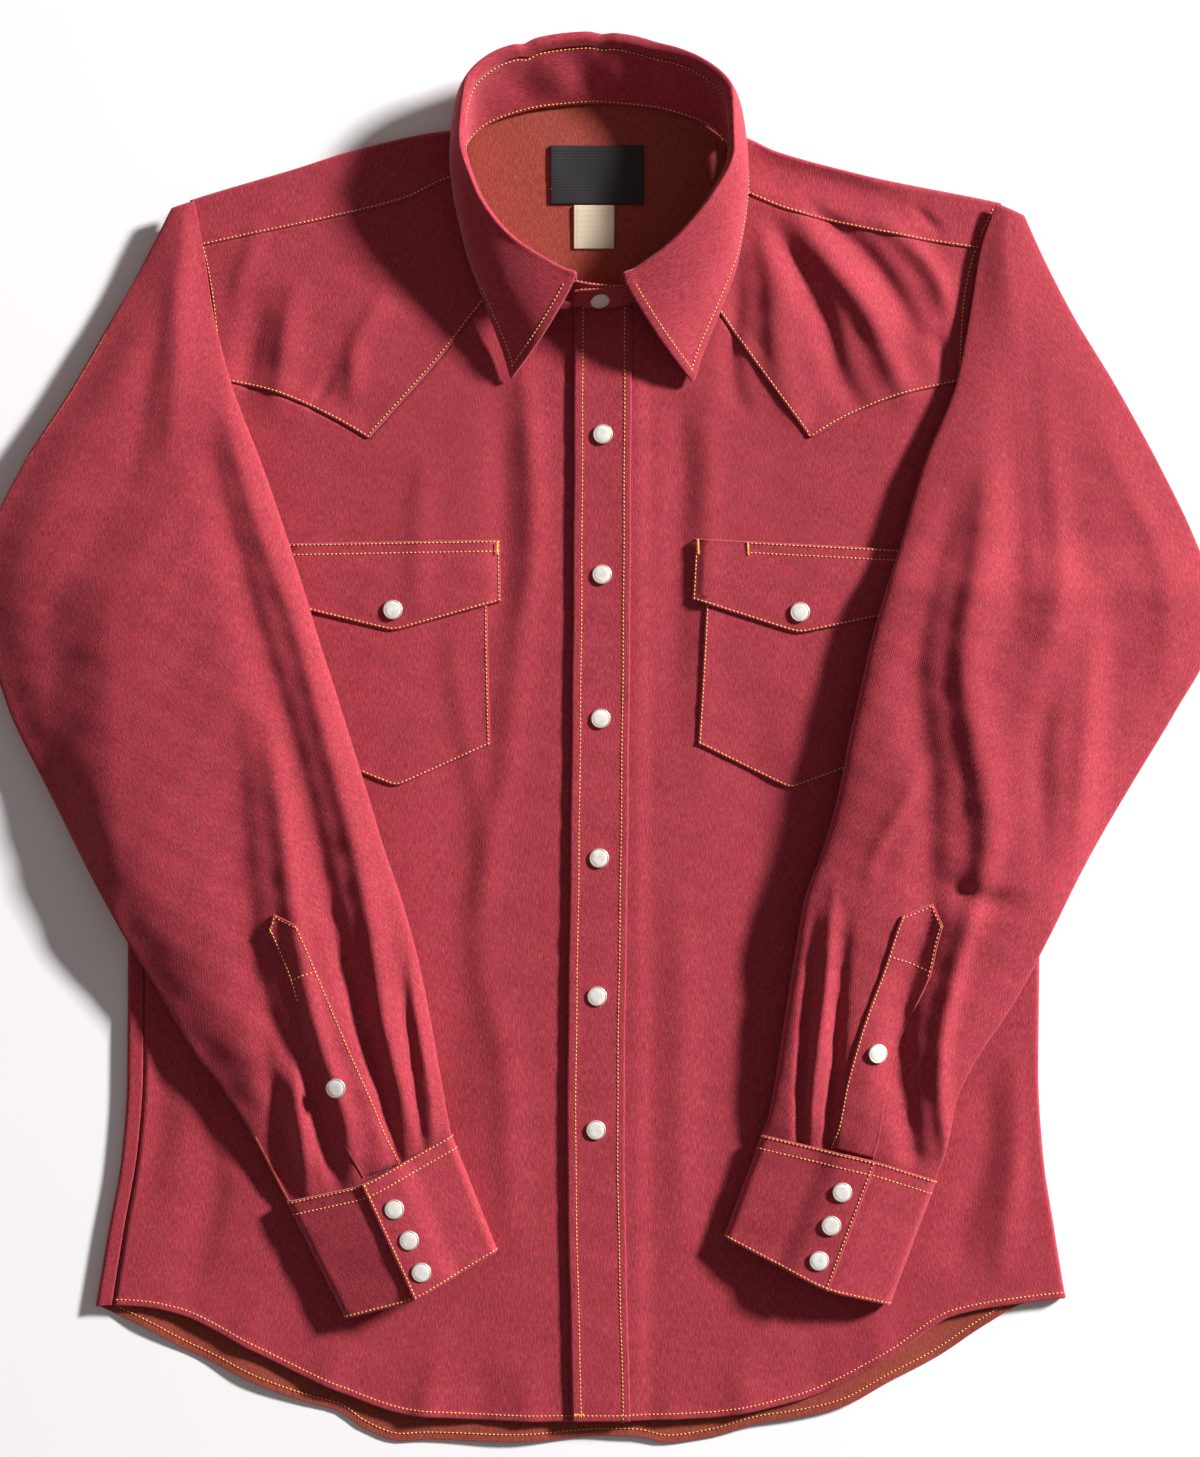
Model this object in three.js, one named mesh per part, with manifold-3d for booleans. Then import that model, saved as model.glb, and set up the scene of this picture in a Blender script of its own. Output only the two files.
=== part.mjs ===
// Western snap shirt, size L, buttoned and laid flat on its back with both sleeves folded over the front.
// Millimetres. +Z is up, +Y runs from hem to collar, and -X is the wearer's right.
// Each panel is a wall of cloth made from a skin: a function of two shares, across and along the panel.
import * as THREE from "three";
import { mergeVertices } from "three/addons/utils/BufferGeometryUtils.js";
import Module from "manifold-3d";

const wasm = await Module();
wasm.setup();

// Cloth
const CLOTH = 1.2; // wall of one layer of twill
const BAND = 2.0; // wall of collar and cuffs, two layers with interlining
const GAP = 0.3; // between pieces at every seam and between layers
const LAYER = CLOTH + GAP; // rise of one piece laid on another
const FOLD_RADIUS = 2.6; // outer radius of the folds at the sides and shoulders
const BODY_TOP = 2 * FOLD_RADIUS; // top of the front above the floor, where it has no crease

// Trim
const PLACKET_WIDTH = 35;
const SNAP_RADIUS = 6;
const SNAP_HEIGHT = 2.6;
const LABEL = { x: -1.8, y: 343, width: 57, height: 36, thick: 0.8 };
const SIZE_TAB = { x: -3.7, y: 311, width: 25, height: 27, thick: 0.8 };

// Neckline: two half ovals that meet at the sides of the neck
const NECK = { x: -1.8, y: 357.5, halfWidth: 79, backDepth: 27.5, frontDepth: 93 };

// Sides of the body from hem corner to shoulder tip; the armholes start at the underarm
const UNDERARM_Y = 80;
const BODY_SIDES = [
  { y: -347, right: -308, left: 285 },
  { y: -300, right: -300.5, left: 277.5 },
  { y: -252, right: -292.4, left: 270.5 },
  { y: -205, right: -289, left: 267.8 },
  { y: -130, right: -288.5, left: 268.5 },
  { y: UNDERARM_Y, right: -290.5, left: 270 },
  { y: 107, right: -274.5, left: 254 },
  { y: 132, right: -259, left: 240 },
  { y: 168, right: -244, left: 229 },
  { y: 242, right: -235.5, left: 224 },
  { y: 284, right: -238.5, left: 230 },
  { y: 323, right: -247, left: 243 },
];
const FRONT_HEM = [
  { x: -308, y: -347 },
  { x: -279, y: -348.5 },
  { x: -257, y: -353 },
  { x: -214, y: -374.5 },
  { x: -160, y: -400 },
  { x: -113, y: -415 },
  { x: -33, y: -418.5 },
  { x: 62, y: -416.5 },
  { x: 120, y: -406 },
  { x: 177, y: -379 },
  { x: 216, y: -354 },
  { x: 255, y: -346.5 },
  { x: 285, y: -343 },
];
const BACK_HEM = [
  { x: -308, y: -347.5 },
  { x: -257, y: -373 },
  { x: -214, y: -394.5 },
  { x: -160, y: -412.5 },
  { x: -122, y: -430 },
  { x: -52, y: -431.5 },
  { x: 8, y: -427.5 },
  { x: 41, y: -432 },
  { x: 97, y: -420 },
  { x: 148, y: -410 },
  { x: 207, y: -379 },
  { x: 255, y: -349 },
  { x: 285, y: -343.5 },
];
// The fold over the shoulders, and the seam in front of it
const SHOULDER_FOLD = [
  { x: -252, y: 325 },
  { x: -190, y: 345 },
  { x: -150, y: 358 },
  { x: -90, y: 370 },
  { x: 0, y: 374 },
  { x: 87, y: 366 },
  { x: 107, y: 357.5 },
  { x: 152, y: 345 },
  { x: 247, y: 323 },
];
const SHOULDER_SEAM = [
  { x: -248, y: 298.5 },
  { x: -171, y: 315 },
  { x: -122, y: 327 },
  { x: -80, y: 343 },
  { x: 77, y: 338 },
  { x: 91, y: 331 },
  { x: 116, y: 321 },
  { x: 195, y: 303 },
  { x: 243, y: 296 },
];
// Lower edges of the pointed front yokes
const YOKE_RIGHT = [
  { x: -237, y: 219 },
  { x: -202, y: 211 },
  { x: -183, y: 204 },
  { x: -141.5, y: 182 },
  { x: -98, y: 231 },
  { x: -73, y: 263 },
  { x: -54.5, y: 287.5 },
];
const YOKE_LEFT = [
  { x: 51.8, y: 288.5 },
  { x: 72, y: 260 },
  { x: 91.5, y: 232 },
  { x: 128, y: 182 },
  { x: 152.5, y: 196 },
  { x: 183, y: 208 },
  { x: 225, y: 218 },
];
const BACK_YOKE_POINT = { side: 262, centre: 240 }; // seam of the back yoke, a shallow V
// Rows of the body at its sides, and columns of the fronts at their top edge; pieces that meet share them
const BODY_ROWS = [-347, -300, -250, -205, -140, -70, 0, 50, 66, 80, 93, 107, 123, 140, 157, 175, 197, 219, 240, 262];
const FRONT_COLUMNS = {
  right: [18.8, 8, -4, -17, -30, -43, -56, -66, -78, -90, -103, -116, -129, -141.5, -155, -172, -192, -214, -236.1],
  left: [-15.2, -6, 4, 14, 23, 28, 34, 43, 53, 62, 73, 84, 96, 107, 117, 128, 140, 155, 172, 192, 210, 225.3],
};
const PLACKET_MIDDLE = [
  { y: -420, x: 1 },
  { y: -240, x: -2.5 },
  { y: -70, x: -0.5 },
  { y: 100, x: 1.2 },
  { y: 262, x: 2 },
];

// The collar, round the neck from the front over the wearer's right, the back and the left, to the front again.
// fold is the collar's top line and edge the free edge of its fall.
const COLLAR = [
  { turn: -12, foldX: 17, foldY: 273, foldZ: 27, edgeX: -40, edgeY: 214, edgeZ: 9 },
  { turn: 9, foldX: -14, foldY: 277.5, foldZ: 29, edgeX: -53.7, edgeY: 217.5, edgeZ: 8.6 },
  { turn: 25, foldX: -34, foldY: 288, foldZ: 31, edgeX: -60, edgeY: 235, edgeZ: 9 },
  { turn: 45, foldX: -56, foldY: 305, foldZ: 34, edgeX: -71, edgeY: 262, edgeZ: 9.5 },
  { turn: 65, foldX: -75, foldY: 330, foldZ: 37, edgeX: -84, edgeY: 293, edgeZ: 9.5 },
  { turn: 90, foldX: -85.5, foldY: 362, foldZ: 38, edgeX: -92.5, edgeY: 333, edgeZ: 9 },
  { turn: 115, foldX: -82, foldY: 390, foldZ: 35, edgeX: -92, edgeY: 362, edgeZ: 8.8 },
  { turn: 140, foldX: -58, foldY: 411, foldZ: 30, edgeX: -70, edgeY: 385, edgeZ: 3 },
  { turn: 180, foldX: -4, foldY: 420.5, foldZ: 26, edgeX: -2, edgeY: 394, edgeZ: 0.6 },
  { turn: 220, foldX: 55, foldY: 407, foldZ: 30, edgeX: 66, edgeY: 385, edgeZ: 3 },
  { turn: 245, foldX: 79, foldY: 385, foldZ: 35, edgeX: 87.5, edgeY: 362, edgeZ: 8.8 },
  { turn: 270, foldX: 79, foldY: 354, foldZ: 38, edgeX: 90.5, edgeY: 330, edgeZ: 9 },
  { turn: 295, foldX: 67, foldY: 327, foldZ: 37, edgeX: 85, edgeY: 292, edgeZ: 9.5 },
  { turn: 315, foldX: 50, foldY: 306, foldZ: 34, edgeX: 75, edgeY: 262, edgeZ: 9.5 },
  { turn: 335, foldX: 30.5, foldY: 288, foldZ: 31, edgeX: 64.5, edgeY: 236, edgeZ: 9 },
  { turn: 351, foldX: 13.5, foldY: 276, foldZ: 29, edgeX: 56, edgeY: 215.5, edgeZ: 8.6 },
  { turn: 372, foldX: -15, foldY: 273, foldZ: 27, edgeX: 40, edgeY: 212, edgeZ: 9 },
];
const STAND_ENDS = { under: -11, over: 371 };
const FALL_ENDS = { right: 9, left: 351 };
const COLLAR_ROLL = 8; // the collar above its seam with the stand, on the inside

// The sleeves, from shoulder tip to cuff seam: the edge away from the placket, the edge near it, and the height
const SLEEVE_RIGHT = [
  { at: 0, outX: -261, outY: 321.5, inX: -252.5, inY: 324, loft: 5 },
  { at: 1, outX: -274.5, outY: 295, inX: -247, inY: 296.5, loft: 8 },
  { at: 2, outX: -294, outY: 258.5, inX: -237, inY: 258.5, loft: 11 },
  { at: 3, outX: -321, outY: 211, inX: -224, inY: 214, loft: 14 },
  { at: 4, outX: -351.5, outY: 163, inX: -206, inY: 167, loft: 17 },
  { at: 5, outX: -371, outY: 120, inX: -190, inY: 121, loft: 19 },
  { at: 6, outX: -375, outY: 83, inX: -178.5, inY: 85.5, loft: 20 },
  { at: 7, outX: -370, outY: 49.5, inX: -169.5, inY: 55.5, loft: 20 },
  { at: 8, outX: -360, outY: 16, inX: -161.5, inY: 31, loft: 20 },
  { at: 9, outX: -336, outY: -33, inX: -151, inY: -2.5, loft: 20 },
  { at: 10, outX: -311, outY: -82, inX: -140, inY: -38, loft: 19 },
  { at: 11, outX: -289, outY: -121.5, inX: -131, inY: -68, loft: 18 },
  { at: 12, outX: -268, outY: -156, inX: -121, inY: -97, loft: 18 },
  { at: 13, outX: -250, outY: -186.5, inX: -112, inY: -129, loft: 18 },
  { at: 14, outX: -230.5, outY: -213, inX: -104, inY: -167, loft: 17 },
  { at: 15, outX: -213.5, outY: -237.5, inX: -97.5, inY: -203.5, loft: 15 },
  { at: 16, outX: -200, outY: -263.5, inX: -93, inY: -229.5, loft: 12 },
  { at: 17, outX: -191, outY: -281, inX: -91, inY: -240.5, loft: 9 },
];
const SLEEVE_LEFT = [
  { at: 0, outX: 258.5, outY: 317, inX: 249, inY: 322.5, loft: 5 },
  { at: 1, outX: 268.5, outY: 295, inX: 244.5, inY: 296.5, loft: 8 },
  { at: 2, outX: 287, outY: 258.5, inX: 229, inY: 258.5, loft: 11 },
  { at: 3, outX: 315.5, outY: 211, inX: 216.5, inY: 214, loft: 14 },
  { at: 4, outX: 342, outY: 162, inX: 197.5, inY: 167, loft: 17 },
  { at: 5, outX: 362, outY: 120, inX: 183, inY: 118, loft: 19 },
  { at: 6, outX: 375, outY: 83, inX: 172.5, inY: 85.5, loft: 20 },
  { at: 7, outX: 369, outY: 49.5, inX: 164, inY: 55.5, loft: 20 },
  { at: 8, outX: 351, outY: 16, inX: 158.5, inY: 31, loft: 20 },
  { at: 9, outX: 321.5, outY: -33, inX: 151, inY: -2.5, loft: 20 },
  { at: 10, outX: 293, outY: -82, inX: 144, inY: -38, loft: 19 },
  { at: 11, outX: 273, outY: -121.5, inX: 135.5, inY: -68, loft: 18 },
  { at: 12, outX: 257.5, outY: -152, inX: 124, inY: -100, loft: 18 },
  { at: 13, outX: 244, outY: -174, inX: 119, inY: -129, loft: 18 },
  { at: 14, outX: 227.5, outY: -199, inX: 113, inY: -167, loft: 17 },
  { at: 15, outX: 217, outY: -222, inX: 107.5, inY: -203.5, loft: 15 },
  { at: 16, outX: 211.5, outY: -249.5, inX: 102.5, inY: -231, loft: 12 },
  { at: 17, outX: 205, outY: -269, inX: 99, inY: -240.5, loft: 9 },
];
// Sleeve plackets, in shares across the sleeve; tip is the point of the boxed top, and lift the rise of the band's
// face above the sleeve's
const SLEEVE_PLACKET = {
  right: { lift: 1.8, tip: 11.45, tipAcross: 0.535, rows: [
    { at: 11.8, from: 0.49, to: 0.6 },
    { at: 12.63, from: 0.485, to: 0.6 },
    { at: 14, from: 0.43, to: 0.61 },
    { at: 15.2, from: 0.41, to: 0.64 },
    { at: 16.9, from: 0.436, to: 0.67 },
  ] },
  left: { lift: 2.7, tip: 11.2, tipAcross: 0.53, rows: [
    { at: 11.6, from: 0.44, to: 0.58 },
    { at: 12.6, from: 0.42, to: 0.57 },
    { at: 14, from: 0.4, to: 0.6 },
    { at: 15.2, from: 0.39, to: 0.61 },
    { at: 16.9, from: 0.37, to: 0.61 },
  ] },
};
// Cuffs, flattened: under is the side that the lap covers, over the side that it starts from
const CUFFS = {
  right: { seam: { under: [-191, -283.2], over: [-90.3, -242.3] }, hem: { under: [-155, -354.5], over: [-62.2, -313.5] }, lapEdge: 0.43, lapUnder: 0.6 },
  left: { seam: { under: [205, -270.3], over: [98.8, -242.3] }, hem: { under: [176.5, -346.5], over: [75.3, -305] }, lapEdge: 0.36, lapUnder: 0.53 },
};
const CUFF_HEIGHT = 8.8;

// Pockets and flaps, each in its own frame at the middle of the flap's top edge
const POCKETS = {
  right: { x: -127, y: 118.5, turn: 1 },
  left: { x: 124, y: 117, turn: -3 },
};
const POCKET = { halfWidth: 58, top: -8, corner: -125, point: -150 };
const FLAP = { halfWidth: 66, top: 0, corner: -37.5, point: -55 };

// Snaps on the front placket, the flaps, the sleeve plackets and the cuffs
const FRONT_SNAPS = [184, 98.5, 10.7, -74.4, -158.6, -240];
const FLAP_SNAP_DROP = 41.5;
const SLEEVE_SNAPS = { right: { at: 14.72, across: 0.49 }, left: { at: 14.3, across: 0.495 } };
const CUFF_SNAPS = {
  right: [[-125.4, -288.8], [-116.2, -308.1], [-108.9, -327.6]],
  left: [[146.7, -276.3], [140, -296.5], [132.7, -317.8]],
};

// Creases: a ridge has a height above zero and a trough below it; bow bends its line sideways
const FRONT_CREASES = [
  { x1: 111, y1: 316, x2: 169, y2: 213, wide: 13, high: -2.2, bow: -8 },
  { x1: 130, y1: 322, x2: 196, y2: 214, wide: 16, high: 4, bow: -10 },
  { x1: 88, y1: 318, x2: 145, y2: 205, wide: 15, high: 3.6, bow: -6 },
  { x1: -214, y1: 214, x2: -180, y2: 275, wide: 16, high: -2.0, bow: 6 },
  { x1: -226, y1: 240, x2: -150, y2: 310, wide: 18, high: 3.2, bow: -8 },
  { x1: -176, y1: 200, x2: -118, y2: 300, wide: 18, high: 2.6, bow: 6 },
  { x1: -34, y1: 200, x2: -34, y2: -60, wide: 13, high: -2.0, bow: 3 },
  { x1: -50, y1: 230, x2: -56, y2: -140, wide: 20, high: 3.2, bow: 4 },
  { x1: 44, y1: 250, x2: 40, y2: -330, wide: 16, high: 2.4, bow: 3 },
];
const SLEEVE_CREASES = {
  right: [
    { x1: -172, y1: -60, x2: -117, y2: -256, wide: 8, high: -6, bow: 10 },
    { x1: -143, y1: -78, x2: -106, y2: -256, wide: 6, high: -4.5, bow: -2 },
    { x1: -236, y1: -60, x2: -172, y2: -262, wide: 14, high: -4, bow: 6 },
    { x1: -246, y1: 270, x2: -270, y2: 30, wide: 26, high: -3.5, bow: -12 },
    { x1: -215, y1: 200, x2: -200, y2: -60, wide: 18, high: 3, bow: 8 },
  ],
  left: [
    { x1: 131, y1: -60, x2: 127, y2: -252, wide: 7, high: -5.5, bow: 2 },
    { x1: 166, y1: -40, x2: 140, y2: -246, wide: 9, high: -4, bow: -4 },
    { x1: 214, y1: -96, x2: 186, y2: -262, wide: 14, high: -4.5, bow: -6 },
    { x1: 250, y1: 240, x2: 214, y2: -40, wide: 22, high: -3.5, bow: 12 },
    { x1: 228, y1: 190, x2: 190, y2: -40, wide: 18, high: 3.5, bow: 8 },
  ],
};

const sleeveCloth = new THREE.MeshStandardMaterial({ color: 0x93314a, roughness: 0.85, metalness: 0 });
const bodyCloth = new THREE.MeshStandardMaterial({ color: 0x8c2d45, roughness: 0.85, metalness: 0 });
const backCloth = new THREE.MeshStandardMaterial({ color: 0x84303a, roughness: 0.88, metalness: 0 });
const trimCloth = new THREE.MeshStandardMaterial({ color: 0x90304a, roughness: 0.82, metalness: 0 });
const pearl = new THREE.MeshStandardMaterial({ color: 0xe9e3da, roughness: 0.25, metalness: 0.1 });
const labelWeave = new THREE.MeshStandardMaterial({ color: 0x17171a, roughness: 0.7, metalness: 0 });
const tabWeave = new THREE.MeshStandardMaterial({ color: 0xe3d7b4, roughness: 0.8, metalness: 0 });

const mix = (a, b, share) => a + (b - a) * share;
const clamp01 = (value) => Math.min(1, Math.max(0, value));
const power = (value, exponent) => Math.sign(value) * Math.abs(value) ** exponent;
const steps = (count) => Array.from({ length: count + 1 }, (_, i) => i / count);
const radians = THREE.MathUtils.degToRad;

function ease(from, to, value) {
  const share = clamp01((value - from) / (to - from));
  return share * share * (3 - 2 * share);
}

// A smooth function through a table's rows: curve(rows, "y")(10).left is the left column at y = 10.
function curve(rows, key) {
  const names = Object.keys(rows[0]).filter((name) => name !== key);
  const at = rows.map((row) => row[key]);
  const slopes = {};
  for (const name of names) {
    const rise = at.slice(1).map((x, i) => (rows[i + 1][name] - rows[i][name]) / (x - at[i]));
    slopes[name] = at.map((_, i) => {
      if (i === 0) return rise[0];
      if (i === at.length - 1) return rise[i - 1];
      if (rise[i - 1] * rise[i] <= 0) return 0;
      return (2 * rise[i - 1] * rise[i]) / (rise[i - 1] + rise[i]);
    });
  }
  return (value) => {
    const inside = Math.min(at[at.length - 1], Math.max(at[0], value));
    let i = 0;
    while (i < at.length - 2 && inside > at[i + 1]) i += 1;
    const span = at[i + 1] - at[i];
    const t = (inside - at[i]) / span;
    const found = {};
    for (const name of names) {
      const start = rows[i][name] * (1 + 2 * t) * (1 - t) ** 2 + slopes[name][i] * span * t * (1 - t) ** 2;
      const end = rows[i + 1][name] * t * t * (3 - 2 * t) + slopes[name][i + 1] * span * t * t * (t - 1);
      found[name] = start + end;
    }
    return found;
  };
}

const bodySides = curve(BODY_SIDES, "y");
const frontHem = curve(FRONT_HEM, "x");
const backHem = curve(BACK_HEM, "x");
const shoulderFold = curve(SHOULDER_FOLD, "x");
const shoulderSeam = curve(SHOULDER_SEAM, "x");
const placketMiddle = curve(PLACKET_MIDDLE, "y");
const collarAt = curve(COLLAR, "turn");
const sleeves = { right: curve(SLEEVE_RIGHT, "at"), left: curve(SLEEVE_LEFT, "at") };

// Height that a list of creases adds at a point.
function relief(creases, x, y) {
  let height = 0;
  for (const crease of creases) {
    const runX = crease.x2 - crease.x1;
    const runY = crease.y2 - crease.y1;
    const length = Math.hypot(runX, runY);
    const along = ((x - crease.x1) * runX + (y - crease.y1) * runY) / length ** 2;
    if (along <= 0 || along >= 1) continue;
    const fade = 4 * along * (1 - along);
    const off = ((x - crease.x1) * runY - (y - crease.y1) * runX) / length - crease.bow * fade;
    height += crease.high * Math.min(1, 1.4 * fade) ** 2 * Math.exp(-((off / crease.wide) ** 2));
  }
  return height;
}

// Top of the front, before the laps at the placket.
function frontTop(x, y) {
  const edges = bodySides(y);
  const inset = Math.min(x - edges.right, edges.left - x);
  return BODY_TOP + relief(FRONT_CREASES, x, y) * ease(4, 22, inset);
}

// Top of what the sleeves and cuffs lie on: the front with its pockets, then the folded sleeve or the floor beside it.
function support(x, y) {
  const edges = bodySides(y);
  const beyond = Math.max(edges.right - x, x - edges.left);
  const onBody = frontTop(x, y) + 2 * LAYER * ease(-150, -110, y);
  const beside = BODY_TOP * ease(40, 150, y);
  return mix(onBody, beside, ease(2, 46, beyond));
}

// A closed wall of cloth behind a skin. facing is 1 where the skin's own normal points out of the wall.
function wall({ across, along, skin, thick, facing = 1, ring = false }) {
  const step = 1e-3;
  const columns = ring ? across.slice(0, -1) : across;
  const width = columns.length;
  const outer = [];
  const inner = [];
  for (const v of along) {
    for (const u of columns) {
      const point = skin(u, v);
      const u0 = ring ? u - step : Math.max(0, u - step);
      const u1 = ring ? u + step : Math.min(1, u + step);
      const alongU = skin(u1, v).sub(skin(u0, v)).normalize();
      const alongV = skin(u, Math.min(1, v + step)).sub(skin(u, Math.max(0, v - step))).normalize();
      const normal = alongU.cross(alongV).normalize().multiplyScalar(facing * thick);
      outer.push(point);
      inner.push(point.clone().sub(normal));
    }
  }
  const half = outer.length;
  const triangles = [];
  const quad = (a, b, c, d) => triangles.push(a, b, c, a, c, d);
  const lastColumn = ring ? width : width - 1;
  const at = (row, column) => row * width + (column % width);
  for (let row = 0; row < along.length - 1; row += 1) {
    for (let column = 0; column < lastColumn; column += 1) {
      const [a, b, c, d] = [at(row, column), at(row, column + 1), at(row + 1, column + 1), at(row + 1, column)];
      quad(a, b, c, d);
      quad(half + d, half + c, half + b, half + a);
    }
    if (!ring) {
      const [a, d, b, c] = [at(row, 0), at(row + 1, 0), at(row, width - 1), at(row + 1, width - 1)];
      quad(a, d, half + d, half + a);
      quad(c, b, half + b, half + c);
    }
  }
  const top = along.length - 1;
  for (let column = 0; column < lastColumn; column += 1) {
    quad(at(0, column + 1), at(0, column), half + at(0, column), half + at(0, column + 1));
    quad(at(top, column), at(top, column + 1), half + at(top, column + 1), half + at(top, column));
  }
  return closedGeometry([...outer, ...inner], triangles);
}

// A closed solid through closed rings of points, with flat ends.
function loft(rings) {
  const width = rings[0].length;
  const points = rings.flat();
  const triangles = [];
  for (let row = 0; row < rings.length - 1; row += 1) {
    for (let i = 0; i < width; i += 1) {
      const next = (i + 1) % width;
      const [a, b, c, d] = [row * width + i, row * width + next, (row + 1) * width + next, (row + 1) * width + i];
      triangles.push(a, b, c, a, c, d);
    }
  }
  const last = (rings.length - 1) * width;
  const middle = (ring) => ring.reduce((sum, p) => sum.add(p), new THREE.Vector3()).divideScalar(width);
  points.push(middle(rings[0]), middle(rings[rings.length - 1]));
  for (let i = 0; i < width; i += 1) {
    const next = (i + 1) % width;
    triangles.push(next, i, points.length - 2, last + i, last + next, points.length - 1);
  }
  return closedGeometry(points, triangles);
}

// A geometry whose faces point out, whichever way round its triangles were listed.
function closedGeometry(points, triangles) {
  let volume = 0;
  for (let i = 0; i < triangles.length; i += 3) {
    const [a, b, c] = [points[triangles[i]], points[triangles[i + 1]], points[triangles[i + 2]]];
    volume += a.dot(b.clone().cross(c));
  }
  if (volume < 0) triangles.reverse();
  const geometry = new THREE.BufferGeometry().setFromPoints(points);
  geometry.setIndex(triangles);
  geometry.computeVertexNormals();
  return geometry;
}

function solid(geometry) {
  const bare = new THREE.BufferGeometry().setAttribute("position", geometry.getAttribute("position"));
  const merged = mergeVertices(bare.setIndex(geometry.index), 1e-3);
  const vertProperties = merged.attributes.position.array;
  return new wasm.Manifold(new wasm.Mesh({ numProp: 3, vertProperties, triVerts: new Uint32Array(merged.index.array) }));
}

function geometryOf(manifold) {
  const mesh = manifold.getMesh();
  const geometry = new THREE.BufferGeometry();
  geometry.setAttribute("position", new THREE.BufferAttribute(mesh.vertProperties, mesh.numProp));
  geometry.setIndex(new THREE.BufferAttribute(mesh.triVerts, 1));
  geometry.computeVertexNormals();
  return geometry;
}

const shirt = new THREE.Group();

function add(name, geometry, material) {
  const mesh = new THREE.Mesh(geometry, material);
  mesh.name = name;
  shirt.add(mesh);
  return mesh;
}

// Neckline of the front and of the back, above x.
function neckline(x, depth) {
  const share = clamp01(Math.abs((x - NECK.x) / NECK.halfWidth));
  return NECK.y + depth * Math.sqrt(1 - share ** 2);
}

const atNeck = (x) => Math.abs(x - NECK.x) < NECK.halfWidth;

// The seam that ends a front panel: the yoke's pointed edge, then the neckline.
function frontPanelTop(x, yokeEdge) {
  const yoke = yokeEdge(x).y - GAP / 2;
  return atNeck(x) ? Math.min(yoke, neckline(x, -NECK.frontDepth)) : yoke;
}

// A point of the body's wall at a side: past 0 the distance runs round the fold and back under it.
function roundSide(edge, side, distance) {
  const middle = edge - side * FOLD_RADIUS;
  const half = Math.PI * FOLD_RADIUS;
  if (distance <= 0) return { x: middle + side * distance, z: BODY_TOP };
  if (distance >= half) return { x: middle - side * (distance - half), z: 0 };
  const angle = distance / FOLD_RADIUS;
  return { x: middle + side * FOLD_RADIUS * Math.sin(angle), z: FOLD_RADIUS * (1 + Math.cos(angle)) };
}

// How much of the side fold there is at a height: next to none along the armhole.
const foldShare = (y) => 1 - 0.98 * ease(UNDERARM_Y - 14, UNDERARM_Y, y);
const bodyRows = (from, to) => [...new Set(BODY_ROWS.map((y) => clamp01((y - from) / (to - from))))];
const HALF_ROUND = Math.PI * FOLD_RADIUS;
const WRAP = 8; // the back comes round the wearer's right side by this much

// The fronts: the right front lies under the left front's placket, and the left front rounds its side to the floor.
function frontPanel(side) {
  const isLeft = side === "left";
  const sign = isLeft ? 1 : -1;
  const yokeEdge = curve(isLeft ? YOKE_LEFT : YOKE_RIGHT, "x");
  const tip = isLeft ? YOKE_LEFT[6] : YOKE_RIGHT[0];
  const hemY = (isLeft ? FRONT_HEM[FRONT_HEM.length - 1] : FRONT_HEM[0]).y;
  const lap = (x) => (isLeft ? LAYER * (1 - ease(22, 34, x)) : 0);
  const flatShare = isLeft ? 0.9 : 1;
  const skin = (u, v) => {
    const rowY = mix(hemY, tip.y, v);
    const edge = bodySides(rowY)[side];
    const fold = foldShare(rowY);
    const flatEnd = edge - sign * (isLeft ? FOLD_RADIUS : FOLD_RADIUS + WRAP) * fold;
    const centre = placketMiddle(rowY).x - sign * (PLACKET_WIDTH / 2 - 0.5);
    const flatX = mix(centre, flatEnd, Math.min(1, u / flatShare));
    const y = mix(frontHem(flatX).y, frontPanelTop(flatX, yokeEdge), v);
    if (u <= flatShare) return new THREE.Vector3(flatX, y, frontTop(flatX, y) + lap(flatX));
    const round = ((u - flatShare) / (1 - flatShare)) * (HALF_ROUND + 1) * fold;
    const rounded = roundSide(edge + sign * (1 - fold) * FOLD_RADIUS, sign, round);
    return new THREE.Vector3(rounded.x, y, rounded.z);
  };
  const columns = FRONT_COLUMNS[side];
  const last = columns[columns.length - 1];
  const flat = columns.map((x) => ((x - columns[0]) / (last - columns[0])) * flatShare);
  const round = isLeft ? [0.925, 0.95, 0.975, 1] : [];
  return wall({ across: [...flat, ...round], along: bodyRows(hemY, tip.y), skin, thick: CLOTH, facing: sign });
}

add("front_right", frontPanel("right"), bodyCloth);
add("front_left", frontPanel("left"), bodyCloth);

// The back: flat on the floor, round the wearer's right side and a little way onto the front.
function backYokeSeam(x) {
  return mix(BACK_YOKE_POINT.centre, BACK_YOKE_POINT.side, clamp01(Math.abs(x) / 230));
}

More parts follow.
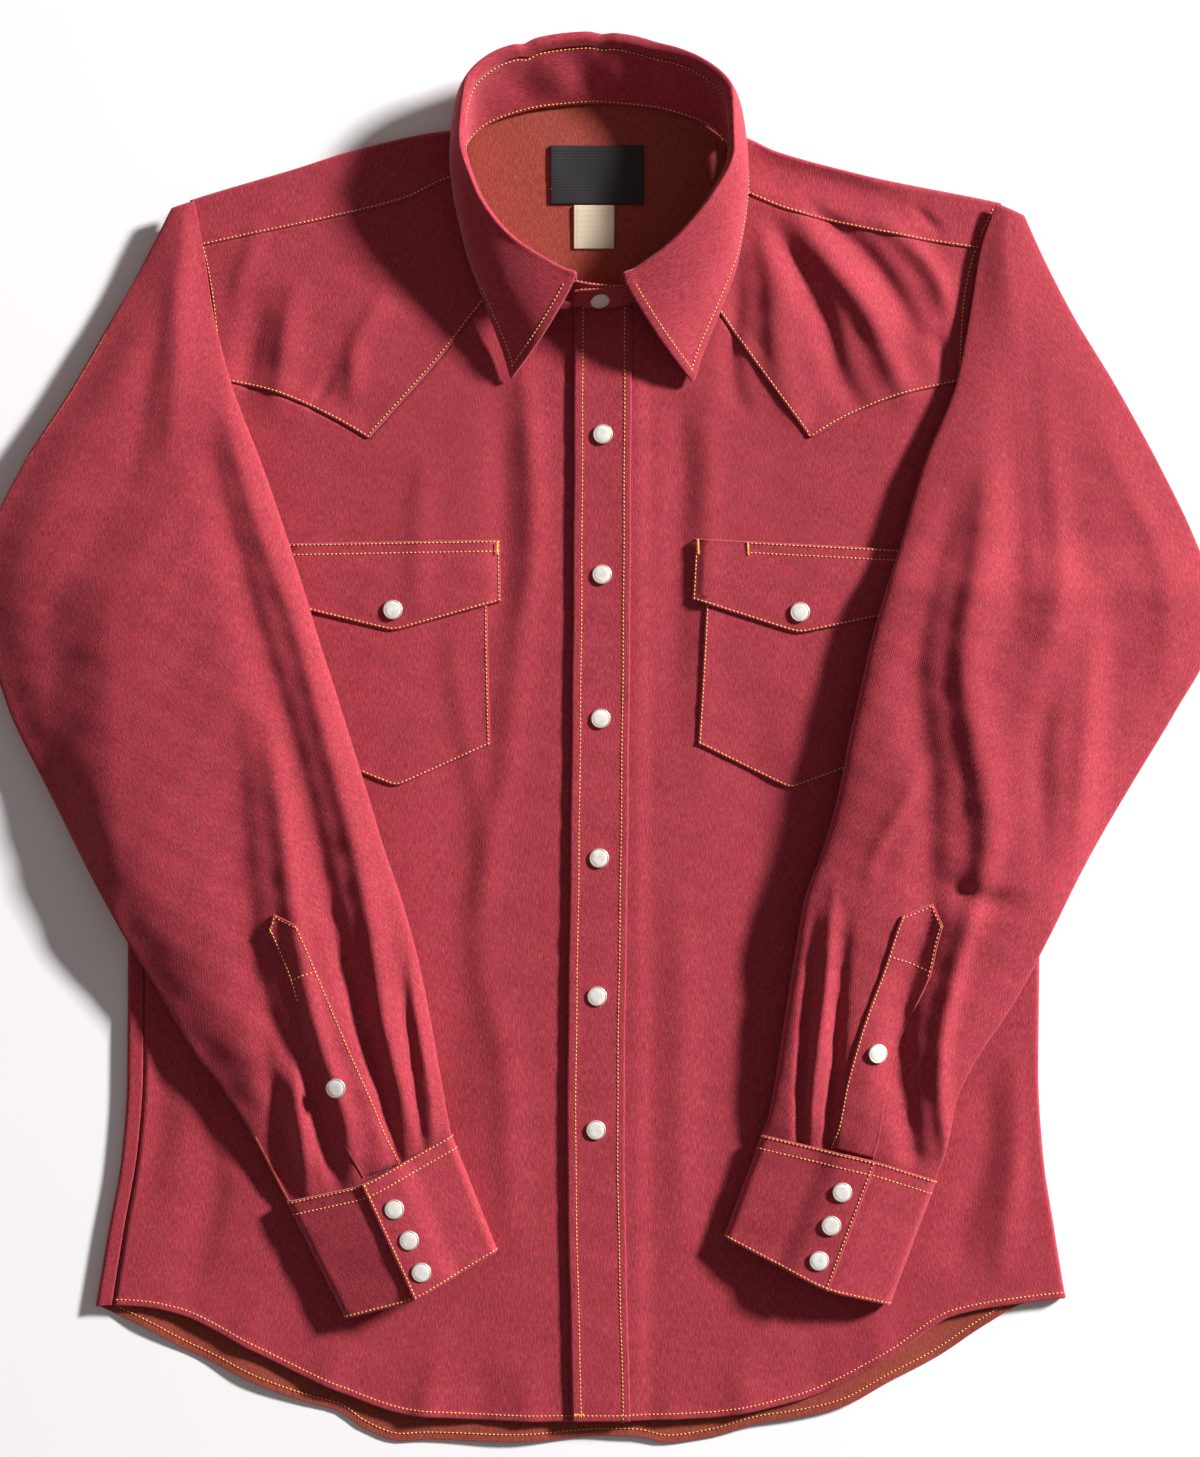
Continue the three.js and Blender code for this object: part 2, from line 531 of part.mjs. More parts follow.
function backPanel() {
  const wrapShare = 0.14;
  const flatEnds = (rowY) => {
    const edges = bodySides(rowY);
    const fold = foldShare(rowY);
    return { right: edges.right + FOLD_RADIUS * fold, left: edges.left - (FOLD_RADIUS + 1.6) * fold };
  };
  const skin = (u, v) => {
    const rowY = mix(BACK_HEM[0].y, BACK_YOKE_POINT.side, v);
    const ends = flatEnds(rowY);
    const fold = foldShare(rowY);
    const wrapped = (HALF_ROUND + WRAP - 2 * GAP) * fold;
    const flatX = mix(ends.right, ends.left, Math.max(0, (u - wrapShare) / (1 - wrapShare)));
    const hem = mix(frontHem(flatX).y, backHem(flatX).y, clamp01(u / wrapShare));
    const y = mix(hem, backYokeSeam(flatX) - GAP / 2, v);
    if (u >= wrapShare) return new THREE.Vector3(flatX, y, 0);
    const round = (1 - u / wrapShare) * wrapped;
    const rounded = roundSide(bodySides(rowY).right - (1 - fold) * FOLD_RADIUS, -1, HALF_ROUND - round);
    return new THREE.Vector3(rounded.x, y, rounded.z);
  };
  const roundColumns = [0, 0.025, 0.05, 0.065, 0.08, 0.095, 0.11, 0.125];
  const top = flatEnds(BACK_YOKE_POINT.side);
  const middle = mix(wrapShare, 1, -top.right / (top.left - top.right)); // the point of the yoke is at x = 0
  const flatColumns = [...steps(4).map((share) => mix(wrapShare, middle, share)), ...steps(4).slice(1).map((share) => mix(middle, 1, share))];
  const along = bodyRows(BACK_HEM[0].y, BACK_YOKE_POINT.side);
  return wall({ across: [...roundColumns, ...flatColumns], along, skin, thick: CLOTH, facing: -1 });
}

add("back_panel", backPanel(), backCloth);

// The back yoke: a plate across the shoulders, and a wing over each shoulder to the seam in front.
const WING_END = { right: -83, left: 80 }; // where a wing stops at the side of the neck
const SHOULDER_FROM = 80; // columns further out than this run up to the shoulder seam

function yokePlate() {
  const columns = [-1, -0.9, -0.7, -0.5, -0.37, -0.345, -0.335, -0.3, -0.22, -0.1, 0, 0.1, 0.22, 0.3, 0.33, 0.34, 0.37, 0.5, 0.7, 0.9, 1];
  const skin = (u, v) => {
    const share = u * 2 - 1;
    const edges = bodySides(mix(BACK_YOKE_POINT.side, 315, v));
    const x = share < 0 ? -share * (edges.right + GAP) : share * (edges.left - GAP);
    const upper = atNeck(x) ? neckline(x, NECK.backDepth) : shoulderFold(x).y - FOLD_RADIUS;
    return new THREE.Vector3(x, mix(backYokeSeam(x) + GAP / 2, upper, v), 0);
  };
  return wall({ across: columns.map((x) => (x + 1) / 2), along: steps(4), skin, thick: CLOTH, facing: -1 });
}

// Columns of the shoulder seam of one side, from the neck to the shoulder tip.
function seamColumns(side) {
  const sign = side === "left" ? 1 : -1;
  const tip = bodySides(shoulderSeam(sign * 242).y)[side] - sign * GAP;
  const count = FRONT_COLUMNS[side].filter((x) => sign * x > SHOULDER_FROM).length;
  return steps(count - 1).map((share) => mix(WING_END[side], tip, share));
}

function yokeWing(side) {
  const sign = side === "left" ? 1 : -1;
  const columns = seamColumns(side);
  const first = columns[0];
  const last = columns[columns.length - 1];
  const seamTip = shoulderSeam(last).y;
  const skin = (u, v) => {
    const seamX = mix(first, last, u);
    const fold = shoulderFold(seamX).y;
    const seam = shoulderSeam(seamX).y + GAP / 2;
    const under = 12;
    const over = fold - FOLD_RADIUS - seam;
    const distance = v * (under + HALF_ROUND + over);
    const angle = Math.min(Math.PI, Math.max(0, (distance - under) / FOLD_RADIUS));
    const flat = Math.min(0, distance - under) - Math.max(0, distance - under - HALF_ROUND);
    const y = fold - FOLD_RADIUS + FOLD_RADIUS * Math.sin(angle) + flat;
    const x = seamX + (bodySides(Math.max(y, seamTip))[side] - bodySides(seamTip)[side]) * ease(0.5, 1, u);
    const z = distance > under + HALF_ROUND ? frontTop(x, y) : FOLD_RADIUS * (1 - Math.cos(angle));
    return new THREE.Vector3(x, y, z);
  };
  const along = [0, 0.14, 0.24, 0.32, 0.4, 0.48, 0.6, 0.8, 1];
  return wall({ across: steps(columns.length - 1), along, skin, thick: CLOTH, facing: -sign });
}

const yokeSolid = solid(yokePlate()).add(solid(yokeWing("right"))).add(solid(yokeWing("left")));
add("back_yoke", geometryOf(yokeSolid), backCloth);

// The pointed front yokes, between the shoulder seams and the fronts. Their lower columns are the fronts' and
// their upper columns the back yoke's.
function frontYoke(side) {
  const sign = side === "left" ? 1 : -1;
  const lower = curve(side === "left" ? YOKE_LEFT : YOKE_RIGHT, "x");
  const low = FRONT_COLUMNS[side].filter((x) => sign * x > 50);
  const high = [...low.filter((x) => sign * x <= SHOULDER_FROM), ...seamColumns(side)];
  const pick = (list, u) => {
    const place = u * (list.length - 1);
    const i = Math.min(list.length - 2, Math.floor(place));
    return mix(list[i], list[i + 1], place - i);
  };
  const skin = (u, v) => {
    const lowX = pick(low, u);
    const highX = pick(high, u);
    const lowY = lower(lowX).y + GAP / 2;
    const highY = Math.min(shoulderSeam(highX).y - GAP / 2, atNeck(highX) ? neckline(highX, -NECK.frontDepth) : 1e3);
    const y = mix(lowY, Math.max(highY, lowY + 1.5), v);
    const hollow = bodySides(y)[side] - mix(bodySides(lowY)[side], bodySides(highY)[side], v);
    const x = mix(lowX, highX, v) + hollow * ease(0.6, 1, u);
    return new THREE.Vector3(x, y, frontTop(x, y));
  };
  return wall({ across: steps(low.length - 1), along: steps(8), skin, thick: CLOTH, facing: sign });
}

add("front_yoke_right", frontYoke("right"), bodyCloth);
add("front_yoke_left", frontYoke("left"), bodyCloth);

// The placket, on the lapped edge of the left front.
function placket() {
  const skin = (u, v) => {
    const y = mix(-418, 263.5, v);
    const x = placketMiddle(y).x + (u - 0.5) * PLACKET_WIDTH;
    return new THREE.Vector3(x, y, frontTop(x, y) + 2 * LAYER);
  };
  return wall({ across: steps(4), along: steps(16), skin, thick: CLOTH });
}

add("front_placket", placket(), trimCloth);

// Patch pockets and their flaps.
function patch(side, shape, layers) {
  const place = POCKETS[side];
  const angle = radians(place.turn);
  const skin = (u, v) => {
    const localX = (u * 2 - 1) * shape.halfWidth;
    const bottom = mix(shape.point, shape.corner, Math.abs(u * 2 - 1));
    const localY = mix(bottom, shape.top, v);
    const x = place.x + localX * Math.cos(angle) - localY * Math.sin(angle);
    const y = place.y + localX * Math.sin(angle) + localY * Math.cos(angle);
    return new THREE.Vector3(x, y, frontTop(x, y) + layers * LAYER);
  };
  return wall({ across: steps(6), along: steps(5), skin, thick: CLOTH });
}

for (const side of ["right", "left"]) {
  add("pocket_" + side, patch(side, POCKET, 1), trimCloth);
  add("pocket_flap_" + side, patch(side, FLAP, 2), trimCloth);
}

// The collar: a stand sewn into the neckline, and a fall that rolls over it.
function neckSeam(turn) {
  const angle = radians(turn);
  const depth = Math.cos(angle) > 0 ? NECK.frontDepth : NECK.backDepth;
  const x = NECK.x - (NECK.halfWidth + 1.5) * Math.sin(angle);
  const y = NECK.y - (depth + 1.5) * Math.cos(angle);
  const rest = mix(CLOTH, BODY_TOP + 2 * LAYER, ease(-0.75, -0.1, Math.cos(angle)));
  return new THREE.Vector3(x, y, rest + GAP + 0.6);
}

function collarSection(turn) {
  const row = collarAt(turn);
  const neck = neckSeam(turn);
  const fold = new THREE.Vector3(row.foldX, row.foldY, row.foldZ);
  const edge = new THREE.Vector3(row.edgeX, row.edgeY, row.edgeZ);
  const rise = fold.clone().sub(neck).normalize();
  const outward = new THREE.Vector3(fold.x - NECK.x, (fold.y - NECK.y) * 0.8, 0).normalize();
  const lean = outward.clone().addScaledVector(rise, -outward.dot(rise)).normalize();
  return { neck, fold, edge, rise, outward, lean };
}

function collarStand() {
  const skin = (u, v) => {
    const turn = mix(STAND_ENDS.under, STAND_ENDS.over, v);
    const { neck, fold, rise, lean } = collarSection(turn);
    const top = fold.clone().addScaledVector(rise, -COLLAR_ROLL - 2.3 * GAP);
    const lift = ease(338, 350, turn) * (BAND + GAP + 0.4);
    return neck.lerp(top, u).addScaledVector(lean, BAND / 2 + lift + Math.sin(Math.PI * u) * 0.8);
  };
  return wall({ across: steps(3), along: steps(40), skin, thick: BAND });
}

function collarFall() {
  const skin = (u, v) => {
    const { fold, edge, rise, outward, lean } = collarSection(mix(FALL_ENDS.right, FALL_ENDS.left, v));
    const near = (out, rising) => fold.clone().addScaledVector(lean, out).addScaledVector(rise, rising);
    const outer = near(5, -2.6);
    const bulge = 0.16 * outer.distanceTo(edge);
    const belly = outer.clone().lerp(edge, 0.45).addScaledVector(outward, bulge * 0.5);
    belly.z += bulge * (edge.z > 6 ? 0.25 : -0.2);
    const stops = [near(-BAND / 2, -COLLAR_ROLL), near(-BAND / 2, -2.6), near(2, 0.4), outer, belly, edge];
    const line = new THREE.CatmullRomCurve3(stops, false, "centripetal");
    return line.getPoint(u);
  };
  const across = [0, 0.1, 0.2, 0.27, 0.34, 0.4, 0.47, 0.54, 0.62, 0.72, 0.86, 1];
  return wall({ across, along: steps(32), skin, thick: BAND, facing: -1 });
}

add("collar_stand", collarStand(), trimCloth);
add("collar_fall", collarFall(), trimCloth);

// A sleeve is a flattened tube. Its turn runs round the section: the top from the outer to the inner edge, then the underside.
function sleevePoint(side, at, turn) {
  const row = sleeves[side](at);
  const angle = turn * 2 * Math.PI;
  const across = 0.5 - 0.5 * power(Math.cos(angle), 0.85);
  const rise = Math.sin(angle);
  const height = 0.5 + 0.5 * (rise > 0 ? power(rise, 0.65) : power(rise, 0.45));
  const x = mix(row.outX, row.inX, across);
  const y = mix(row.outY, row.inY, across);
  const crease = rise > 0 ? relief(SLEEVE_CREASES[side], x, y) * rise ** 0.5 : 0;
  const z = support(x, y) + GAP + row.loft * height + crease * Math.min(1, row.loft / 14);
  return new THREE.Vector3(x, y, z);
}

// The turn at which the sleeve's top reaches a share of its width.
const sleeveTurn = (across) => Math.acos(power(1 - 2 * across, 1 / 0.85)) / (2 * Math.PI);

const SLEEVE_END = 17;

function sleeve(side) {
  const skin = (u, v) => sleevePoint(side, v * SLEEVE_END, u);
  return wall({ across: steps(20), along: steps(24), skin, thick: CLOTH, facing: side === "left" ? 1 : -1, ring: true });
}

// Under the upper sleeve its cloth folds back to the armhole: hidden layers in one solid, with a layered edge.
function foldedSleeve(side) {
  const sign = side === "left" ? 1 : -1;
  const crease = curve((side === "left" ? SLEEVE_LEFT : SLEEVE_RIGHT).slice(0, 7).map((row) => ({ y: -row.outY, x: row.outX })), "y");
  const rings = [312, 300, 284, ...BODY_ROWS.filter((y) => y > UNDERARM_Y).reverse(), UNDERARM_Y + 6].map((y) => {
    const outer = crease(-y).x - sign * 2;
    const inner = bodySides(y)[side] + sign * 2.5 * GAP;
    const point = (share, z) => {
      const x = mix(inner, outer, share);
      return new THREE.Vector3(x, y, z * (Math.min(support(x, y), BODY_TOP) - 0.9));
    };
    const groove = 1.1 / Math.abs(outer - inner);
    const edge = [1, 0.75, 0.5, 0.25, 0].map((z, i) => point(1 - (i % 2 ? 0 : groove), z));
    return [...edge, point(0, 0), ...[0, 0.2, 0.4, 0.6, 0.8].map((share) => point(share, 1))];
  });
  return loft(rings);
}

for (const side of ["right", "left"]) {
  add("sleeve_" + side, sleeve(side), sleeveCloth);
  add("sleeve_fold_" + side, foldedSleeve(side), sleeveCloth);
}

// The boxed plackets on the sleeves.
function sleevePlacket(side) {
  const { lift, tip, tipAcross, rows } = SLEEVE_PLACKET[side];
  const width = curve(rows, "at");
  const skin = (u, v) => {
    const at = mix(rows[0].at, rows[rows.length - 1].at, v);
    const { from, to } = width(at);
    const across = mix(from, to, u);
    const peak = 1 - Math.abs(across - tipAcross) / Math.max(tipAcross - from, to - tipAcross);
    const lifted = at - (rows[0].at - tip) * clamp01(peak) * (1 - v) ** 6;
    const point = sleevePoint(side, lifted, sleeveTurn(across));
    point.z += lift;
    return point;
  };
  return wall({ across: steps(4), along: steps(12), skin, thick: CLOTH, facing: side === "left" ? 1 : -1 });
}

add("sleeve_placket_right", sleevePlacket("right"), trimCloth);
add("sleeve_placket_left", sleevePlacket("left"), trimCloth);

// A cuff is one band, folded flat: from under the lap round the far edge, back below, and over the lap.
function cuffPoint(side, turn, along) {
  const cuff = CUFFS[side];
  const corner = (key) => [mix(cuff.seam[key][0], cuff.hem[key][0], along), mix(cuff.seam[key][1], cuff.hem[key][1], along)];
  const under = corner("under");
  const over = corner("over");
  const width = Math.hypot(over[0] - under[0], over[1] - under[1]);
  const radius = CUFF_HEIGHT / 2;
  const margin = radius / width;
  const pieces = [
    { length: cuff.lapUnder * width - radius, point: (t) => [mix(cuff.lapUnder, margin, t), CUFF_HEIGHT] },
    { length: Math.PI * radius, point: (t) => [margin - margin * Math.sin(Math.PI * t), radius * (1 + Math.cos(Math.PI * t))] },
    { length: width - 2 * radius, point: (t) => [mix(margin, 1 - margin, t), 0] },
    { length: Math.PI * radius, point: (t) => [1 - margin + margin * Math.sin(Math.PI * t), radius * (1 - Math.cos(Math.PI * t))] },
    { length: (1 - cuff.lapEdge) * width - radius, point: (t) => [mix(1 - margin, cuff.lapEdge, t), CUFF_HEIGHT] },
  ];
  const total = pieces.reduce((sum, piece) => sum + piece.length, 0);
  let left = turn * total;
  let index = 0;
  while (index < pieces.length - 1 && left > pieces[index].length) {
    left -= pieces[index].length;
    index += 1;
  }
  const [across, height] = pieces[index].point(clamp01(left / pieces[index].length));
  const lap = index === 4 ? (BAND + GAP) * ease(cuff.lapUnder + 0.16, cuff.lapUnder + 0.02, across) : 0;
  const x = mix(under[0], over[0], across);
  const y = mix(under[1], over[1], across);
  return new THREE.Vector3(x, y, support(x, y) + GAP + height + lap);
}

function cuff(side) {
  const skin = (u, v) => cuffPoint(side, u, v);
  return wall({ across: steps(36), along: steps(4), skin, thick: BAND, facing: side === "left" ? -1 : 1 });
}

add("cuff_right", cuff("right"), trimCloth);
add("cuff_left", cuff("left"), trimCloth);

// Snaps: a domed pearl cap in a thin rim, turned to the cloth it sits on.
const snapShape = (() => {
  const profile = [[0, 0], [SNAP_RADIUS - 0.5, 0], [SNAP_RADIUS, 0.9], [SNAP_RADIUS - 1, 2.1], [0, SNAP_HEIGHT]];
  const lathe = new THREE.LatheGeometry(profile.map(([r, z]) => new THREE.Vector2(r, z)), 12);
  return lathe.rotateX(Math.PI / 2);
})();

function snap(name, point, normal) {
  const mesh = add(name, snapShape, pearl);
  mesh.position.copy(point).addScaledVector(normal, GAP);
  mesh.quaternion.setFromUnitVectors(new THREE.Vector3(0, 0, 1), normal);
}

const up = new THREE.Vector3(0, 0, 1);

FRONT_SNAPS.forEach((y, index) => {
  const x = placketMiddle(y).x;
  snap("snap_front_" + (index + 1), new THREE.Vector3(x, y, frontTop(x, y) + 2 * LAYER + 0.15), up);
});

for (const side of ["right", "left"]) {
  const place = POCKETS[side];
  const angle = radians(place.turn);
  const x = place.x + FLAP_SNAP_DROP * Math.sin(angle);
  const y = place.y - FLAP_SNAP_DROP * Math.cos(angle);
  snap("snap_pocket_" + side, new THREE.Vector3(x, y, frontTop(x, y) + 2 * LAYER + 0.1), up);

  const { at, across } = SLEEVE_SNAPS[side];
  const turn = sleeveTurn(across);
  const point = sleevePoint(side, at, turn);
  const alongArm = sleevePoint(side, at + 0.3, turn).sub(sleevePoint(side, at - 0.3, turn));
  const acrossArm = sleevePoint(side, at, turn + 0.03).sub(sleevePoint(side, at, turn - 0.03));
  const normal = alongArm.cross(acrossArm).normalize();
  if (normal.z < 0) normal.negate();
  snap("snap_sleeve_" + side, point.addScaledVector(up, SLEEVE_PLACKET[side].lift).addScaledVector(normal, 0.15), normal);

  CUFF_SNAPS[side].forEach(([snapX, snapY], index) => {
    const top = support(snapX, snapY) + GAP + CUFF_HEIGHT + BAND + GAP + 0.1;
    snap("snap_cuff_" + side + "_" + (index + 1), new THREE.Vector3(snapX, snapY, top), up);
  });
}

// The snap that closes the collar stand.
const throat = collarSection(360);
const throatMiddle = throat.neck.clone().lerp(throat.fold, 0.4);
snap("snap_collar", throatMiddle.addScaledVector(throat.lean, BAND / 2 + BAND + 2 * GAP + 1.1), throat.lean);

// Woven labels on the inside of the back yoke, left plain.
for (const [name, shape, material] of [["neck_label", LABEL, labelWeave], ["size_tab", SIZE_TAB, tabWeave]]) {
  const box = new THREE.BoxGeometry(shape.width, shape.height, shape.thick);
  add(name, box, material).position.set(shape.x, shape.y, CLOTH + GAP + shape.thick / 2);
}

// The origin is under the middle of the shirt's box.
shirt.updateMatrixWorld(true);
const box = new THREE.Box3().setFromObject(shirt, true);
shirt.position.set(-(box.min.x + box.max.x) / 2, -(box.min.y + box.max.y) / 2, -box.min.z);

export default shirt;
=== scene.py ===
# Western snap shirt in burgundy twill, buttoned and laid flat on a pale table, both sleeves folded over
# the front.
import math

import bpy
import numpy as np
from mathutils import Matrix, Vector


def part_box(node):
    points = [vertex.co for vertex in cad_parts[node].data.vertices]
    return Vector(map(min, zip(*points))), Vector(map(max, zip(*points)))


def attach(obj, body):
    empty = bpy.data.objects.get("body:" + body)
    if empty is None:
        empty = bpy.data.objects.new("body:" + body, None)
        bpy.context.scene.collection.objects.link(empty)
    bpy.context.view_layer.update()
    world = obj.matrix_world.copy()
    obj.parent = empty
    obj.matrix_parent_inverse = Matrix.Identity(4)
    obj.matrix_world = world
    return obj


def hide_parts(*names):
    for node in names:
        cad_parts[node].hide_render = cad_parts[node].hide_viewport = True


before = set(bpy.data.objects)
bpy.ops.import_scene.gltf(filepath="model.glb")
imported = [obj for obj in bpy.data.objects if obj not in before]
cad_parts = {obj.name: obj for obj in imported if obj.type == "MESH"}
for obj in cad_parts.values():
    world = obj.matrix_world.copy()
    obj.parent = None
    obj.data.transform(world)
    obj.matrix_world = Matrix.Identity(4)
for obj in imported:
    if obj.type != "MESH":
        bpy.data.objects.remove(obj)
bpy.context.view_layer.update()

# The table, the light and the camera: a white table top beside a window, seen from straight above.
# Sizes in this file are in millimetres on the table: x to the wearer's left, y from hem to collar, z up.
LABEL_MIDDLE = (-1.8, 343.0)  # the neck label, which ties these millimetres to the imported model
label_low, label_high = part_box("neck_label")
TABLE_ORIGIN = np.array([(label_low[0] + label_high[0]) / 2 - LABEL_MIDDLE[0] / 1000,
    (label_low[1] + label_high[1]) / 2 - LABEL_MIDDLE[1] / 1000, 0.0])


def on_table(points):
    """Millimetres on the table as metres in the model's frame."""
    return np.asarray(points, float) / 1000 + TABLE_ORIGIN


table_mesh = bpy.data.meshes.new("table_top")
table_mesh.from_pydata([(-6, -6, -0.0006), (6, -6, -0.0006), (6, 6, -0.0006), (-6, 6, -0.0006)], [],
    [(0, 1, 2, 3)])
table_top = bpy.data.objects.new("table_top", table_mesh)
bpy.context.collection.objects.link(table_top)
table_white = bpy.data.materials.new("table_white")
table_white.use_nodes = True
table_paint = table_white.node_tree.nodes["Principled BSDF"]
table_paint.inputs["Base Color"].default_value = (0.93, 0.93, 0.93, 1)
table_paint.inputs["Roughness"].default_value = 0.9
table_paint.inputs["Specular IOR Level"].default_value = 0.1
table_mesh.materials.append(table_white)

room = bpy.data.worlds.new("white_room")
room.use_nodes = True
room.node_tree.nodes["Background"].inputs["Color"].default_value = (1.0, 0.87, 0.85, 1)
room.node_tree.nodes["Background"].inputs["Strength"].default_value = 0.19
bpy.context.scene.world = room
bpy.context.scene.view_settings.view_transform = "Standard"


def window(name, place, target, width, height, power, colour):
    """A soft rectangular light at place, turned to target, both in metres."""
    light = bpy.data.lights.new(name, "AREA")
    light.shape = "RECTANGLE"
    light.size = width
    light.size_y = height
    light.energy = power
    light.color = colour
    lamp = bpy.data.objects.new(name, light)
    bpy.context.collection.objects.link(lamp)
    lamp.location = place
    lamp.rotation_euler = (Vector(target) - Vector(place)).to_track_quat("-Z", "Y").to_euler()
    return lamp


window("window_light", (6.7, 3.7, 2.95), (0, 0, 0), 1.5, 0.7, 1760, (1.0, 0.985, 1.0))

photo_view = bpy.data.cameras.new("photo_view")
photo_view.sensor_fit = "VERTICAL"
photo_view.sensor_height = 24
CAMERA_HEIGHT = 2.2
photo_view.lens = 12 * (CAMERA_HEIGHT - 0.006) / 0.4444
camera = bpy.data.objects.new("photo_view", photo_view)
bpy.context.collection.objects.link(camera)
camera.location = (TABLE_ORIGIN[0], TABLE_ORIGIN[1] + 0.0046, CAMERA_HEIGHT)
bpy.context.scene.camera = camera

# The back: one wide panel of twill, face down on the table, round the wearer's right side and sewn to the
# front just past the fold. Its reverse, where the golden weft shows, is seen below the front's shorter
# hem.
CLOTH = 0.9  # one layer of twill
GAP = 0.3  # between pieces at a seam and between layers
LAYER = 1.5  # rise of one piece laid on another
FOLD_RADIUS = 2.6  # outer radius of the folds at the sides and shoulders
BODY_TOP = 2 * FOLD_RADIUS
HALF_ROUND = math.pi * FOLD_RADIUS
UNDERARM_Y = 80
SIDE_WRAP = 8  # how far the back comes round onto the front
BACK_YOKE_CENTRE, BACK_YOKE_SIDE = 240, 262  # seam of the back yoke, a shallow V


def mix(start, end, share):
    return start + (end - start) * share


def ease(start, end, value):
    share = np.clip((value - start) / (end - start), 0, 1)
    return share * share * (3 - 2 * share)


def drawn(rows):
    """A smooth line through rows of (place, value, ...), as a function of the place."""
    rows = np.array(rows, float)
    at, values = rows[:, 0], rows[:, 1:]
    span = np.diff(at)[:, None]
    rise = np.diff(values, axis=0) / span
    slope = np.zeros_like(values)
    slope[0], slope[-1] = rise[0], rise[-1]
    before, after = rise[:-1], rise[1:]
    same = before * after > 0
    slope[1:-1][same] = (2 * before * after)[same] / (before + after)[same]

    def read(place):
        place = np.clip(place, at[0], at[-1])
        i = np.clip(np.searchsorted(at, place) - 1, 0, len(at) - 2)
        wide = (at[i + 1] - at[i])[..., None]
        t = (place - at[i])[..., None] / wide
        out = values[i] * (1 + 2 * t) * (1 - t) ** 2 + slope[i] * wide * t * (1 - t) ** 2
        out = out + values[i + 1] * t * t * (3 - 2 * t) + slope[i + 1] * wide * t * t * (t - 1)
        return out[..., 0] if out.shape[-1] == 1 else tuple(np.moveaxis(out, -1, 0))

    return read


# y, the wearer's right side, the wearer's left side
body_sides = drawn([
    (-347, -308, 285), (-300, -300.5, 277.5), (-252, -292.4, 270.5), (-205, -289, 267.8),
    (-130, -288.5, 268.5),
    (80, -290.5, 270), (107, -274.5, 254), (132, -259, 240), (168, -244, 229), (242, -236.5, 225),
    (284, -241.5, 232.5), (323, -250.5, 245.5)])
front_hem = drawn([
    (-308, -347), (-279, -348.5), (-257, -353), (-214, -374.5), (-160, -400), (-113, -415), (-33, -418.5),
    (62, -416.5), (120, -406), (177, -379), (216, -354), (255, -346.5), (285, -343)])
back_hem = drawn([
    (-308, -347.5), (-279, -361), (-257, -373), (-236, -383), (-214, -394.5), (-180, -407), (-160, -412.5),
    (-145, -423), (-122, -431), (-106, -430), (-52, -431.5), (8, -427.5), (23, -428), (41, -432),
    (69, -428),
    (97, -420), (120, -416.5), (148, -410), (177, -394.5), (207, -379), (236, -359.5), (261, -346),
    (285, -343.5)])


def folds(table, x, y):
    """Height that the listed folds give the cloth at x, y. Each fold is a row of stations along its line:
    place x y, half widths on the left and the right of the run, and height, below zero for a trough."""
    x, y = np.broadcast_arrays(np.asarray(x, float), np.asarray(y, float))
    height = np.zeros(x.shape)
    for stations in table:
        stations = np.array(stations, float)
        reach = 2.6 * stations[:, 2:4].max()
        near = (x > stations[:, 0].min() - reach) & (x < stations[:, 0].max() + reach)
        near &= (y > stations[:, 1].min() - reach) & (y < stations[:, 1].max() + reach)
        if not near.any():
            continue
        length = np.r_[0, np.cumsum(np.hypot(*np.diff(stations[:, :2], axis=0).T))]
        run = np.linspace(0, length[-1], int(length[-1] / 4) + 4)
        at = np.stack(drawn(np.column_stack([length, stations]))(run), 1)
        # the line of a fold sweeps, it does not waver from station to station
        wide = min(15, len(run) // 3) | 1
        sweep = np.hanning(wide + 2)[1:-1] / np.hanning(wide + 2).sum()
        held = np.pad(at, ((wide // 2, wide // 2), (0, 0)), mode="reflect", reflect_type="odd")
        at = np.stack([np.convolve(column, sweep, "valid") for column in held.T], 1)
        along = np.gradient(at, run, axis=0)
        ahead = along[:, :2] / np.hypot(along[:, 0], along[:, 1])[:, None]
        away = np.stack([x[near], y[near]], -1)[:, None] - at[None, :, :2]
        closest = (away ** 2).sum(-1).argmin(1)
        away, ahead = away[np.arange(len(closest)), closest], ahead[closest]
        further = (away * ahead).sum(-1)
        beyond = np.maximum(0, np.abs(further) - run[1] / 2) * ((closest == 0) | (closest == len(run) - 1))
        off = away[:, 0] * ahead[:, 1] - away[:, 1] * ahead[:, 0]
        left, right, high = (at[closest, 2:] + along[closest, 2:] * np.clip(further, -run[1] / 2,
            run[1] / 2)[:, None]).T
        height[near] += high * np.exp(-(off / np.where(off > 0, right, left)) ** 2 - (beyond / 8) ** 2)
    return height


hand = np.random.default_rng(1957)
RIPPLES = [(hand.uniform(0, math.pi), hand.uniform(16, 70), hand.uniform(0, 6.28)) for _ in range(9)]


def ripple(x, y):
    """The slight unevenness of pressed cloth, about one either way."""
    height = 0
    for turn, wave, start in RIPPLES:
        height = height + np.sin((x * math.cos(turn) + y * math.sin(turn)) * 2 * math.pi / wave
            + start) * (wave / 70) ** 0.7
    return height / 2.6


NEAR_EDGE = (0.3, 0.7, 1.2, 1.8, 2.5, 3.3, 4.2, 5.3, 6.6)


def shares(count, length, low=False, high=False):
    """Even shares from 0 to 1, with closer ones at the ends that are finished edges; length is in
    millimetres."""
    near = np.array(NEAR_EDGE) / length
    even = np.linspace(0, 1, count + 1)
    middle = even[(even > (near[-1] if low else -1)) & (even < (1 - near[-1] if high else 2))]
    parts = [middle] + ([np.r_[0, near]] if low else []) + ([np.r_[1 - near, 1]] if high else [])
    return np.unique(np.concatenate(parts))


